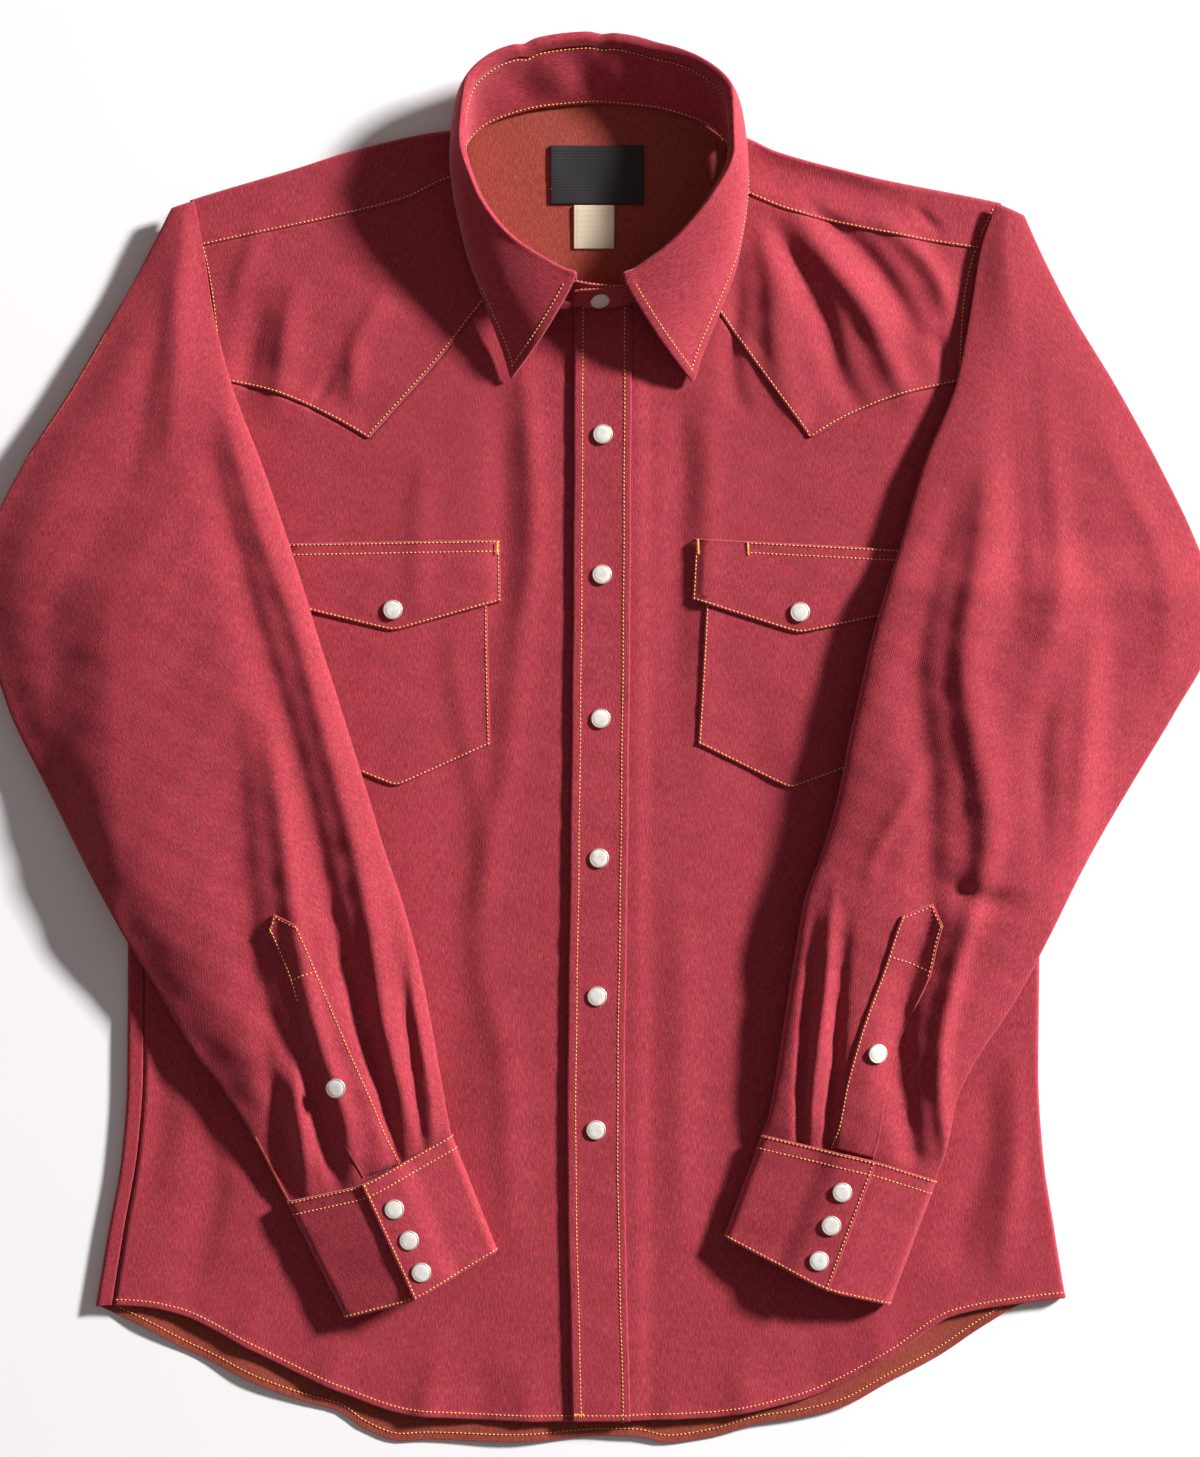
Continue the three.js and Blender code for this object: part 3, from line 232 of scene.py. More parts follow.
def cloth_normals(grid, facing, ring=False):
    across = np.roll(grid, -1, 1) - np.roll(grid, 1, 1) if ring else np.gradient(grid, axis=1)
    normals = np.cross(across, np.gradient(grid, axis=0)) * facing
    return normals / np.maximum(np.linalg.norm(normals, axis=2, keepdims=True), 1e-9)


def away_from(grid, edge):
    """The grid with the named edge as its first row."""
    return {"bottom": grid, "top": grid[::-1], "start": grid.swapaxes(0, 1),
        "end": grid.swapaxes(0, 1)[::-1]}[edge]


def edge_distance(grid, edge):
    """Distance in millimetres of each point of the grid from one of its edges."""
    lines = away_from(grid, edge)
    steps = np.linalg.norm(np.diff(lines, axis=0), axis=2)
    run = np.concatenate([np.zeros((1, lines.shape[1])), np.cumsum(steps, axis=0)])
    rim = np.gradient(lines[0], axis=0)
    rim = rim / np.maximum(np.linalg.norm(rim, axis=1, keepdims=True), 1e-9)
    inward = lines[min(6, len(lines) - 1)] - lines[0]
    inward = inward / np.maximum(np.linalg.norm(inward, axis=1, keepdims=True), 1e-9)
    slant = np.sqrt(np.clip(1 - (rim * inward).sum(1) ** 2, 0.15, 1))
    out = run * slant[None, :]
    return {"bottom": out, "top": out[::-1], "start": out.T, "end": out[::-1].T}[edge]


def sewn_edges(grid, facing, edges, ring=False):
    """The cloth turned under and topstitched: rounded at the fold, thick up to the seam, drawn in at
    the stitches."""
    normals = cloth_normals(grid, facing, ring)
    lift = np.zeros(grid.shape[:2])
    for edge, stitch, thick in edges:
        d = edge_distance(grid, edge)
        lift += thick * (1 - ease(stitch - 0.4, stitch + 1.6,
            d)) - 0.24 * np.exp(-((d - stitch) / 0.65) ** 2)
        round_off = 0.9
        lift -= round_off * (1 - np.sqrt(np.clip(1 - np.clip(1 - d / round_off, 0, 1) ** 2, 0, 1)))
    return grid + normals * lift[..., None]


def line_at(grid, facing, edge, distance, trim=(0, 0), ring=False):
    """Where a line of stitches runs on the cloth, at a distance from one edge: rows of place and way up."""
    normals = away_from(cloth_normals(grid, facing, ring), edge)
    d = away_from(edge_distance(grid, edge)[..., None], edge)[..., 0]
    lines = away_from(grid, edge)
    path = np.empty((lines.shape[1], 6))
    for column in range(lines.shape[1]):
        for axis in range(3):
            path[column, axis] = np.interp(distance, d[:, column], lines[:, column, axis])
            path[column, 3 + axis] = np.interp(distance, d[:, column], normals[:, column, axis])
    return trimmed(path, *trim)


def trimmed(path, first, last):
    """A path cut short by so many millimetres at its two ends."""
    run = np.r_[0, np.cumsum(np.linalg.norm(np.diff(path[:, :3], axis=0), axis=1))]
    inside = run[(run > first) & (run < run[-1] - last)]
    places = np.r_[first, inside, run[-1] - last]
    return np.stack([np.interp(places, run, path[:, i]) for i in range(6)], 1)


def cloth_shell(name, grids, facing, materials, thick=CLOTH, ring=False):
    """A closed shell of cloth behind one or more grids of points, with the cloth's own lengths as its UV map.
    materials are the face's and the reverse's."""
    grids = grids if isinstance(grids, list) else [grids]
    facing = facing if isinstance(facing, list) else [facing] * len(grids)
    points, faces, slots, places = [], [], [], []
    base = 0
    for grid, side in zip(grids, facing):
        rows, width = grid.shape[:2]
        normals = cloth_normals(grid, side, ring)
        outer = grid.reshape(-1, 3)
        inner = outer - normals.reshape(-1, 3) * thick
        columns = np.arange(width if ring else width - 1)
        after = (columns + 1) % width
        row = np.arange(rows - 1)[:, None]
        a, b = row * width + columns, row * width + after
        c, d = b + width, a + width
        top = np.stack([a, b, c, d], -1).reshape(-1, 4)
        half = rows * width
        under = top[:, ::-1] + half
        rims = []
        if not ring:
            r = np.arange(rows - 1) * width
            rims.append(np.stack([r, r + width, r + width + half, r + half], 1))
            r = r + width - 1
            rims.append(np.stack([r + width, r, r + half, r + width + half], 1))
        rims.append(np.stack([after, columns, columns + half, after + half], 1))
        last = (rows - 1) * width
        rims.append(np.stack([last + columns, last + after, last + after + half, last + columns + half], 1))
        rims = np.concatenate(rims)
        # The cloth's lengths: across from the middle column, along the middle column.
        if ring:
            closed = np.concatenate([grid, grid[:, :1]], 1)
            across = np.concatenate([np.zeros((rows, 1)),
                np.cumsum(np.linalg.norm(np.diff(closed, axis=1), axis=2), 1)], 1)
            across = across[:, :width] - across[:, [width // 4]]
        else:
            across = np.concatenate([np.zeros((rows, 1)),
                np.cumsum(np.linalg.norm(np.diff(grid, axis=1), axis=2), 1)], 1)
            across = across - across[:, [width // 2]]
        middle = grid[:, width // 4 if ring else width // 2]
        along = np.r_[0, np.cumsum(np.linalg.norm(np.diff(middle, axis=0), axis=1))]
        lie = np.stack([across, np.broadcast_to(along[:, None], across.shape)], -1).reshape(-1, 2) / 1000
        quads = np.concatenate([top, under, rims])
        corners = np.concatenate([outer, inner])
        a, b, c, d = (corners[quads[:, i]] for i in range(4))
        if ((a * np.cross(b, c)).sum() + (a * np.cross(c, d)).sum()) < 0:
            quads = quads[:, ::-1]
        points.append(corners)
        faces.append(quads + base)
        slots.append(np.r_[np.zeros(len(top)), np.ones(len(under)), np.zeros(len(rims))])
        places.append(np.concatenate([lie, lie]))
        base += len(corners)
    points, faces, places = np.concatenate(points), np.concatenate(faces), np.concatenate(places)
    mesh = bpy.data.meshes.new(name)
    mesh.from_pydata(on_table(points), [], faces)
    mesh.polygons.foreach_set("material_index", np.concatenate(slots).astype(np.int32))
    mesh.polygons.foreach_set("use_smooth", np.ones(len(faces), bool))
    uv = mesh.uv_layers.new(name="cloth")
    uv.data.foreach_set("uv", places[faces.ravel()].astype(np.float32).ravel())
    for material in materials:
        mesh.materials.append(material)
    mesh.update()
    shell = bpy.data.objects.new(name, mesh)
    bpy.context.collection.objects.link(shell)
    return shell


def node(tree, kind, settings=None, **inputs):
    """A shader node; inputs are values or sockets, by socket name with _ for a space."""
    made = tree.nodes.new(kind)
    for key, value in (settings or {}).items():
        setattr(made, key, value)
    for key, value in inputs.items():
        socket = made.inputs[int(key[1:])] if key[0] == "_" else made.inputs[key.replace("_", " ")]
        if isinstance(value, bpy.types.NodeSocket):
            tree.links.new(value, socket)
        else:
            socket.default_value = value
    return made


def maths(tree, operation, *values):
    made = tree.nodes.new("ShaderNodeMath")
    made.operation = operation
    for socket, value in zip(made.inputs, values):
        if isinstance(value, bpy.types.NodeSocket):
            tree.links.new(value, socket)
        else:
            socket.default_value = value
    return made.outputs[0]


def twill_weave():
    """Slubbed twill: streaks along the warp, flecks of weft, faint diagonal ribs and a slow change of
    depth."""
    group = bpy.data.node_groups.new("twill_weave", "ShaderNodeTree")
    group.interface.new_socket("Cloth", in_out="INPUT", socket_type="NodeSocketVector")
    for name, value in (("Slub Width", 0.0006), ("Slub Length", 0.0045), ("Rib", 0.0011)):
        socket = group.interface.new_socket(name, in_out="INPUT", socket_type="NodeSocketFloat")
        socket.default_value = value
    for name in ("Slub", "Fleck", "Depth", "Height"):
        group.interface.new_socket(name, in_out="OUTPUT", socket_type="NodeSocketFloat")
    given = group.nodes.new("NodeGroupInput")
    place = node(group, "ShaderNodeSeparateXYZ", _0=given.outputs["Cloth"])
    u, v = place.outputs[0], place.outputs[1]

    def noise(wide, long, detail, offset):
        at = node(group, "ShaderNodeCombineXYZ", _0=maths(group, "DIVIDE", u, wide),
            _1=maths(group, "DIVIDE", v, long), _2=offset)
        return node(group, "ShaderNodeTexNoise", Vector=at.outputs[0], Scale=1.0, Detail=detail,
            Roughness=0.55).outputs[0]

    slub = noise(given.outputs["Slub Width"], given.outputs["Slub Length"], 2.0, 0.0)
    fleck = noise(0.0006, 0.0021, 1.0, 7.3)
    broad = noise(0.003, 0.022, 2.0, 3.1)
    depth = noise(0.09, 0.11, 2.0, 5.7)
    diagonal = maths(group, "DIVIDE", maths(group, "ADD", u, maths(group, "MULTIPLY", v, 0.6)),
        given.outputs["Rib"])
    ribs = maths(group, "MULTIPLY_ADD", maths(group, "SINE",
        maths(group, "MULTIPLY", diagonal, 2 * math.pi)), 0.5, 0.5)
    mixed = maths(group, "MULTIPLY_ADD", broad, 0.12, maths(group, "MULTIPLY", slub, 0.88))
    height = maths(group, "MULTIPLY_ADD", ribs, 0.3,
        maths(group, "MULTIPLY_ADD", slub, 0.9, maths(group, "MULTIPLY", fleck, 0.5)))
    out = group.nodes.new("NodeGroupOutput")
    group.links.new(mixed, out.inputs["Slub"])
    group.links.new(fleck, out.inputs["Fleck"])
    group.links.new(depth, out.inputs["Depth"])
    group.links.new(height, out.inputs["Height"])
    return group


TWILL_WEAVE = twill_weave()


def twill(name, dark, middle, light, weft, weft_share, sheen=0.34):
    """A twill: dark, middle and light are the warp's depths of colour, and weft shows through in flecks."""
    material = bpy.data.materials.new(name)
    material.use_nodes = True
    tree = material.node_tree
    cloth = tree.nodes["Principled BSDF"]
    lie = node(tree, "ShaderNodeUVMap", {"uv_map": "cloth"})
    weave = tree.nodes.new("ShaderNodeGroup")
    weave.node_tree = TWILL_WEAVE
    tree.links.new(lie.outputs[0], weave.inputs["Cloth"])
    ramp = tree.nodes.new("ShaderNodeValToRGB")
    ramp.color_ramp.elements[0].position = 0.28
    ramp.color_ramp.elements[0].color = (*dark, 1)
    ramp.color_ramp.elements[1].position = 0.72
    ramp.color_ramp.elements[1].color = (*light, 1)
    ramp.color_ramp.elements.new(0.5).color = (*middle, 1)
    tone = maths(tree, "ADD", weave.outputs["Slub"],
        maths(tree, "MULTIPLY", maths(tree, "SUBTRACT", weave.outputs["Depth"], 0.5), 0.12))
    tree.links.new(tone, ramp.inputs[0])
    share = node(tree, "ShaderNodeMapRange", Value=weave.outputs["Fleck"], From_Min=0.5, From_Max=0.74,
        To_Min=0.0, To_Max=weft_share)
    colour = node(tree, "ShaderNodeMix", {"data_type": "RGBA"}, _0=share.outputs[0], _6=ramp.outputs[0],
        _7=(*weft, 1))
    tree.links.new(colour.outputs[2], cloth.inputs["Base Color"])
    cloth.inputs["Roughness"].default_value = 0.8
    cloth.inputs["Specular IOR Level"].default_value = 0.24
    cloth.inputs["Sheen Weight"].default_value = sheen
    cloth.inputs["Sheen Roughness"].default_value = 0.45
    cloth.inputs["Sheen Tint"].default_value = (1.0, 0.66, 0.76, 1)
    bump = node(tree, "ShaderNodeBump", Strength=0.55, Distance=0.00035, Height=weave.outputs["Height"])
    tree.links.new(bump.outputs[0], cloth.inputs["Normal"])
    return material


twill_face = twill("twill_face", (0.225, 0.012, 0.025), (0.345, 0.024, 0.044), (0.48, 0.046, 0.08),
    (0.48, 0.16, 0.08), 0.3)
twill_reverse = twill("twill_reverse", (0.19, 0.024, 0.018), (0.29, 0.042, 0.030), (0.37, 0.07, 0.044),
    (0.44, 0.13, 0.05), 0.5)


def worn(piece, nodes):
    """Fixes a cloth piece to the model's root and hides the model's parts that it stands for."""
    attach(piece, "root")
    if nodes:
        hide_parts(*nodes)


def fold_share(y):
    """How much of the side fold there is at a height: next to none along the armhole."""
    return 1 - 0.98 * ease(UNDERARM_Y - 14, UNDERARM_Y, y)


def round_side(edge, side, distance):
    """A point of the body's wall at a side: past 0 the distance runs round the fold and back under it."""
    middle = edge - side * FOLD_RADIUS
    angle = np.clip(distance, 0, HALF_ROUND) / FOLD_RADIUS
    x = middle + side * (FOLD_RADIUS * np.sin(angle) + np.minimum(distance, 0)
        - np.maximum(distance - HALF_ROUND, 0))
    return x, FOLD_RADIUS * (1 + np.cos(angle))


def back_yoke_seam(x):
    return mix(BACK_YOKE_CENTRE, BACK_YOKE_SIDE, np.clip(np.abs(x) / 230, 0, 1))


def back_grid():
    wrap = 0.08
    across = np.r_[np.linspace(0, wrap, 15)[:-1], mix(wrap, 1, shares(96, 560))]
    u, v = np.meshgrid(across, shares(90, 640, low=True))
    row_y = mix(-347.5, BACK_YOKE_SIDE, v)
    right, left = body_sides(row_y)
    fold = fold_share(row_y)
    flat_x = mix(right + FOLD_RADIUS * fold, left - (FOLD_RADIUS + 1.6) * fold,
        np.clip((u - wrap) / (1 - wrap), 0, 1))
    hem = mix(front_hem(flat_x), back_hem(flat_x), np.clip(u / wrap, 0, 1))
    y = mix(hem, back_yoke_seam(flat_x) - GAP / 2, v)
    x, z = round_side(right - (1 - fold) * FOLD_RADIUS, -1,
        HALF_ROUND - (1 - u / wrap) * (HALF_ROUND + SIDE_WRAP - 2 * GAP) * fold)
    x = np.where(u < wrap, x, flat_x)
    below = ease(60, 0, y - back_hem(flat_x))  # the hem lifts off the table in shallow waves
    wave = 0.5 + 0.5 * np.sin(flat_x / 17.0 + 1.6 * np.sin(flat_x / 41.0))
    z = np.where(u < wrap, z, below * 1.5 * wave * ease(0, 30, flat_x - right) * ease(0, 30, left - flat_x))
    return np.stack([x, y, z], -1)


back = back_grid()
back_panel = cloth_shell("back_panel_cloth", back, -1, [twill_face, twill_reverse])
worn(back_panel, ["back_panel"])
back_hem_line = line_at(back, -1, "bottom", 4.5)
back_hem_line[:, :3] -= back_hem_line[:, 3:] * (CLOTH + 0.1)  # these stitches show on the reverse
back_hem_line[:, 3:] *= -1

# The fronts: two panels of the same twill. The right one lies under the left one's placket; the left one
# comes round its side to the table. Soft folds run down from the yokes and beside the placket.
FRONT_FOLDS = [
    # left yoke: folds from the collar down to the armhole
    [(117, 320, 8, 6, 0), (128, 303, 9, 7, 3), (140, 289, 10, 7, 4), (149, 276, 10, 7, 4.4),
    (159, 264, 10, 7, 4.4), (168, 249, 10, 7, 4.2), (174, 232, 9, 7, 3.4), (184, 214, 8, 7, 2.4),
    (190, 198, 8, 7, 0)],
    [(102, 320, 6, 7, 0), (111, 303, 6, 8, -2.6), (121, 287, 6, 9, -3.4), (129, 272, 6, 10, -3.8),
    (137, 257, 6, 10, -4), (142, 240, 6, 10, -3.8), (144, 224, 6, 9, -3), (156, 206, 6, 8, -1.6),
    (162, 193, 6, 8, 0)],
    [(162, 320, 7, 6, 0), (181, 306, 7, 6, 2), (195, 293, 7, 6, 3), (206, 278, 7, 6, 3),
    (212, 262, 6, 6, 1.6), (217, 248, 5, 5, 0)],
    [(122, 329, 5, 6, 0), (135, 317, 5, 6, -2.4), (152, 304, 6, 8, -3.2), (167, 289, 6, 9, -3.6),
    (178, 273, 6, 9, -3.4), (188, 256, 6, 8, -2), (195, 242, 5, 7, 0)],
    [(98, 314, 10, 6, 0), (102, 293, 12, 7, 2.6), (107, 272, 13, 8, 3.6), (107, 248, 13, 8, 3.8),
    (109, 223, 12, 8, 3), (120, 202, 10, 8, 1.6), (126, 183, 9, 8, 0)],
    [(85, 296, 5, 6, 0), (84, 266, 5, 7, -2), (81, 235, 5, 8, -2.4), (82, 211, 5, 8, -1.8),
    (93, 193, 5, 8, 0)],
    [(204, 248, 4, 6, 0), (211, 234, 4, 6, -2.2), (215, 215, 4, 6, 0)],
    [(190, 325, 3, 4, 0), (200, 315, 3, 4, -1.6), (210, 304, 3, 4, 0)],
    # the shoulder folds back off the table and dips beside the collar
    [(87, 357, 8, 12, 0), (107, 346, 8, 13, -2.6), (140, 338, 7, 11, -2.4), (177, 329, 6, 8, -1.2),
    (201, 322, 5, 6, 0)],
    # right yoke: soft hollows off the shoulder, and a crumple beside the point
    [(-183, 278, 10, 7, 0), (-190, 255, 10, 7, 2.2), (-193, 234, 10, 7, 3), (-196, 212, 9, 7, 2),
    (-201, 195, 8, 7, 0)],
    [(-206, 272, 7, 10, 0), (-210, 248, 7, 11, -2), (-215, 226, 7, 11, -2.4), (-218, 205, 7, 9, -1),
    (-221, 193, 7, 9, 0)],
    [(-129, 275, 9, 6, 0), (-139, 255, 9, 6, 1.8), (-151, 235, 8, 6, 2.4), (-151, 218, 7, 5, 1.8),
    (-156, 200, 6, 5, 0)],
    [(-160, 226, 4, 5, 0), (-168, 212, 3.5, 5, -2), (-174, 204, 3.5, 5, -1.2), (-179, 198, 3, 4, 0)],
    [(-206, 318, 8, 6, 0), (-214, 292, 8, 6, 1.6), (-222, 272, 8, 6, 1.2), (-224, 254, 7, 6, 0)],
    # below the collar and beside the placket
    [(-49, 239, 8, 6, 0), (-43, 181, 8, 6, 2.4), (-41, 120, 8, 6, 2.4), (-49, 59, 9, 7, 1.6),
    (-57, -15, 9, 8, 1.4), (-70, -82, 9, 8, 1.2), (-82, -137, 9, 8, 0)],
    [(-61, 217, 6, 9, 0), (-59, 168, 6, 10, -1.6), (-58, 113, 6, 10, -1.6), (-65, 52, 7, 10, 0)],
    [(-107, 181, 9, 7, 0), (-110, 144, 9, 7, 1.2), (-111, 95, 9, 7, 1), (-110, 59, 9, 7, 0)],
    [(-93, 83, 9, 7, 0), (-88, 34, 9, 7, 1), (-77, -21, 9, 7, 1.2), (-70, -76, 9, 8, 1.2),
    (-74, -137, 10, 8, 1.2), (-58, -198, 10, 8, 1.4), (-56, -259, 10, 8, 1.4), (-54, -320, 10, 8, 0)],
    [(48, 214, 6, 9, 0), (51, 162, 6, 10, -1.8), (46, 83, 8, 10, -1.4), (41, -15, 8, 10, 0)],
    [(65, 217, 8, 7, 0), (66, 168, 8, 7, 1.4), (65, 107, 8, 7, 1.2), (63, 34, 8, 8, 1), (61, -39, 8, 8, 0)],
    [(49, -76, 9, 9, 0), (50, -161, 10, 9, 1.2), (49, -246, 10, 9, 1.2), (51, -338, 10, 9, 0)],
    # broad rolls of the body under and below the sleeves
    [(-92, 83, 18, 22, 0), (-77, -15, 18, 26, -1.6), (-82, -112, 18, 26, -2), (-92, -210, 18, 22, -1.2),
    (-104, -301, 16, 20, 0)],
    [(85, 59, 18, 22, 0), (96, -39, 16, 24, -1.8), (93, -137, 16, 24, -1.8), (78, -222, 16, 22, -1.2),
    (61, -307, 14, 20, 0)],
    [(251, -185, 8, 7, 0), (259, -222, 8, 7, 2), (255, -259, 9, 8, 2.4), (248, -289, 9, 8, 2.4),
    (244, -317, 9, 8, 1.4), (246, -338, 8, 7, 0)],
    [(235, -198, 7, 10, 0), (238, -234, 7, 12, -2), (232, -271, 7, 13, -2), (221, -304, 8, 13, -2),
    (217, -332, 8, 12, 0)],
    [(-274, -131, 10, 14, 0), (-266, -185, 10, 16, -1.6), (-270, -246, 10, 16, -1.8),
    (-281, -307, 10, 14, 0)],
    [(-241, -222, 8, 12, 0), (-235, -271, 8, 14, -1.8), (-244, -320, 8, 14, -1.4), (-259, -350, 8, 12, 0)],
    # the hem curls
    [(-116, -448, 7, 10, 3.2), (-106, -407, 7, 10, 1.9), (-96, -366, 7, 10, 0)],
    [(-74, -450, 8, 7, -1.6), (-72, -413, 8, 7, -1), (-70, -376, 8, 7, 0)],
    [(-40, -450, 9, 9, 2.6), (-43, -414, 9, 9, 1.6), (-46, -378, 9, 9, 0)],
    [(44, -450, 10, 10, 1.8), (42, -415, 10, 10, 1.1), (40, -380, 10, 10, 0)],
    [(92, -446, 9, 12, 2.6), (88, -408, 9, 12, 1.6), (84, -370, 9, 12, 0)],
    [(140, -430, 10, 9, -1.2), (134, -393, 10, 9, -0.7), (128, -356, 10, 9, 0)],
    [(182, -410, 10, 10, 2), (172, -375, 10, 10, 1.2), (162, -340, 10, 10, 0)],
    [(-176, -426, 10, 10, 1.9), (-165, -389, 10, 10, 1.1), (-154, -352, 10, 10, 0)],
    [(-226, -400, 9, 10, 1.5), (-216, -368, 9, 10, 0.9), (-206, -336, 9, 10, 0)],
]
PLACKET_WIDTH = 35
placket_middle = drawn([(-420, 1), (-240, -2.5), (-70, -0.5), (100, 1.2), (262, 2)])
NECK_X, NECK_Y, NECK_HALF, NECK_BACK, NECK_FRONT = -1.8, 357.5, 79, 27.5, 93


def pointed(before, after):
    """Two smooth lines that meet in a sharp point."""
    first, second, point = drawn(before), drawn(after), after[0][0]
    return lambda x: np.where(x < point, first(x), second(x))


yoke_right = pointed([(-237, 219), (-202, 211), (-183, 204), (-160, 192.8), (-141.5, 182)],
    [(-141.5, 182), (-98, 231), (-73, 263), (-54.5, 287.5)])
yoke_left = pointed([(51.8, 288.5), (72, 260), (91.5, 232), (128, 182)],
    [(128, 182), (152.5, 196), (183, 208), (225, 218)])


def front_top(x, y):
    """Height of the fronts' face, before the laps at the placket."""
    right, left = body_sides(y)
    inset = np.minimum(x - right, left - x)
    shoulder = 3.6 * np.exp(-((x - 150) / 52) ** 2
        - ((y - 262) / 46) ** 2) + 1.6 * np.exp(-((x + 150) / 56) ** 2 - ((y - 265) / 46) ** 2)
    height = BODY_TOP + (folds(FRONT_FOLDS, x, y) + 0.3 * ripple(x, y) + shoulder) * ease(4, 22, inset)
    return 2.6 + np.logaddexp(0, (height - 2.6) * 2.2) / 2.2


def neckline(x, depth):
    return NECK_Y + depth * np.sqrt(1 - np.clip(np.abs((x - NECK_X) / NECK_HALF), 0, 1) ** 2)


def at_neck(x):
    return np.abs(x - NECK_X) < NECK_HALF


def front_grid(side):
    sign, seam = (1, yoke_left) if side == "left" else (-1, yoke_right)
    flat_share = 0.94 if side == "left" else 1.0
    hem_y, tip_y = (-343, 218) if side == "left" else (-347, 219)
    flat = shares(84, 300) * flat_share
    across = np.r_[flat, np.linspace(flat_share, 1, 13)[1:]] if side == "left" else flat
    u, v = np.meshgrid(across, shares(150, 620, low=True))
    row_y = mix(hem_y, tip_y, v)
    edge = body_sides(row_y)[1 if side == "left" else 0]
    fold = fold_share(row_y)
    flat_end = edge - sign * (FOLD_RADIUS if side == "left" else FOLD_RADIUS + SIDE_WRAP) * fold
    centre = placket_middle(row_y) - sign * (PLACKET_WIDTH / 2 - 0.5)
    flat_x = mix(centre, flat_end, np.minimum(1, u / flat_share))
    upper = seam(flat_x) - GAP / 2
    upper = np.where(at_neck(flat_x), np.minimum(upper, neckline(flat_x, -NECK_FRONT)), upper)
    y = mix(front_hem(flat_x), upper, v)
    lap = LAYER * (1 - ease(22, 32, flat_x)) if side == "left" else 0
    z = front_top(flat_x, y) + lap
    if side == "left":
        distance = (u - flat_share) / (1 - flat_share) * (HALF_ROUND + 1) * fold
        round_x, round_z = round_side(edge + sign * (1 - fold) * FOLD_RADIUS, sign, distance)
        flat_x, z = np.where(u > flat_share, round_x, flat_x), np.where(u > flat_share, round_z, z)
    grid = np.stack([flat_x, y, z], -1)
    return sewn_edges(grid, sign, [("bottom", 4.2, 0.35)])


front_right, front_left = front_grid("right"), front_grid("left")
worn(cloth_shell("front_right_cloth", front_right, -1, [twill_face, twill_reverse]), ["front_right"])
worn(cloth_shell("front_left_cloth", front_left, 1, [twill_face, twill_reverse]), ["front_left"])


def stitching_tree():
    """Geometry nodes that sew a thread along edges: a small round-ended stitch at every pitch, turned
    to the cloth."""
    group = bpy.data.node_groups.new("sewn_thread", "GeometryNodeTree")
    group.interface.new_socket("Seam", in_out="INPUT", socket_type="NodeSocketGeometry")
    for name, value in (("Pitch", 0.0022), ("Stitch Length", 0.0018), ("Thread Width", 0.00055),
            ("Thread Height", 0.0004)):
        socket = group.interface.new_socket(name, in_out="INPUT", socket_type="NodeSocketFloat")
        socket.default_value = value
    seed = group.interface.new_socket("Seed", in_out="INPUT", socket_type="NodeSocketInt")
    seed.default_value = 3
    finish = group.interface.new_socket("Thread", in_out="INPUT", socket_type="NodeSocketMaterial")
    group.interface.new_socket("Stitches", in_out="OUTPUT", socket_type="NodeSocketGeometry")
    given = group.nodes.new("NodeGroupInput")
    curve = node(group, "GeometryNodeMeshToCurve", _0=given.outputs["Seam"])
    spaced = node(group, "GeometryNodeResampleCurve", {"mode": "LENGTH"}, Curve=curve.outputs[0],
        Length=given.outputs["Pitch"])
    size = node(group, "ShaderNodeCombineXYZ", _0=given.outputs["Stitch Length"],
        _1=given.outputs["Thread Width"], _2=given.outputs["Thread Height"])
    ball = node(group, "GeometryNodeMeshIcoSphere", Radius=0.5, Subdivisions=1)
    one = node(group, "GeometryNodeTransform", Geometry=ball.outputs[0], Scale=size.outputs[0])
    smooth = node(group, "GeometryNodeSetShadeSmooth", Geometry=one.outputs[0])
    run = node(group, "GeometryNodeInputTangent")
    ahead = node(group, "FunctionNodeAlignRotationToVector", {"axis": "X"}, Vector=run.outputs[0])
    up = node(group, "GeometryNodeInputNamedAttribute", {"data_type": "FLOAT_VECTOR"}, Name="cloth_up")
    turned = node(group, "FunctionNodeAlignRotationToVector", {"axis": "Z", "pivot_axis": "X"},
        Rotation=ahead.outputs[0], Vector=up.outputs[0])
    uneven = node(group, "FunctionNodeRandomValue", {"data_type": "FLOAT_VECTOR"}, _0=(0.9, 0.9, 0.85),
        _1=(1.08, 1.12, 1.15), Seed=given.outputs["Seed"])
    sewn = node(group, "GeometryNodeInstanceOnPoints", Points=spaced.outputs[0], Instance=smooth.outputs[0],
        Rotation=turned.outputs[0], Scale=uneven.outputs[0])
    real = node(group, "GeometryNodeRealizeInstances", Geometry=sewn.outputs[0])
    threaded = node(group, "GeometryNodeSetMaterial", Geometry=real.outputs[0],
        Material=given.outputs["Thread"])
    out = group.nodes.new("NodeGroupOutput")
    group.links.new(threaded.outputs[0], out.inputs[0])
    return group


STITCHING = stitching_tree()


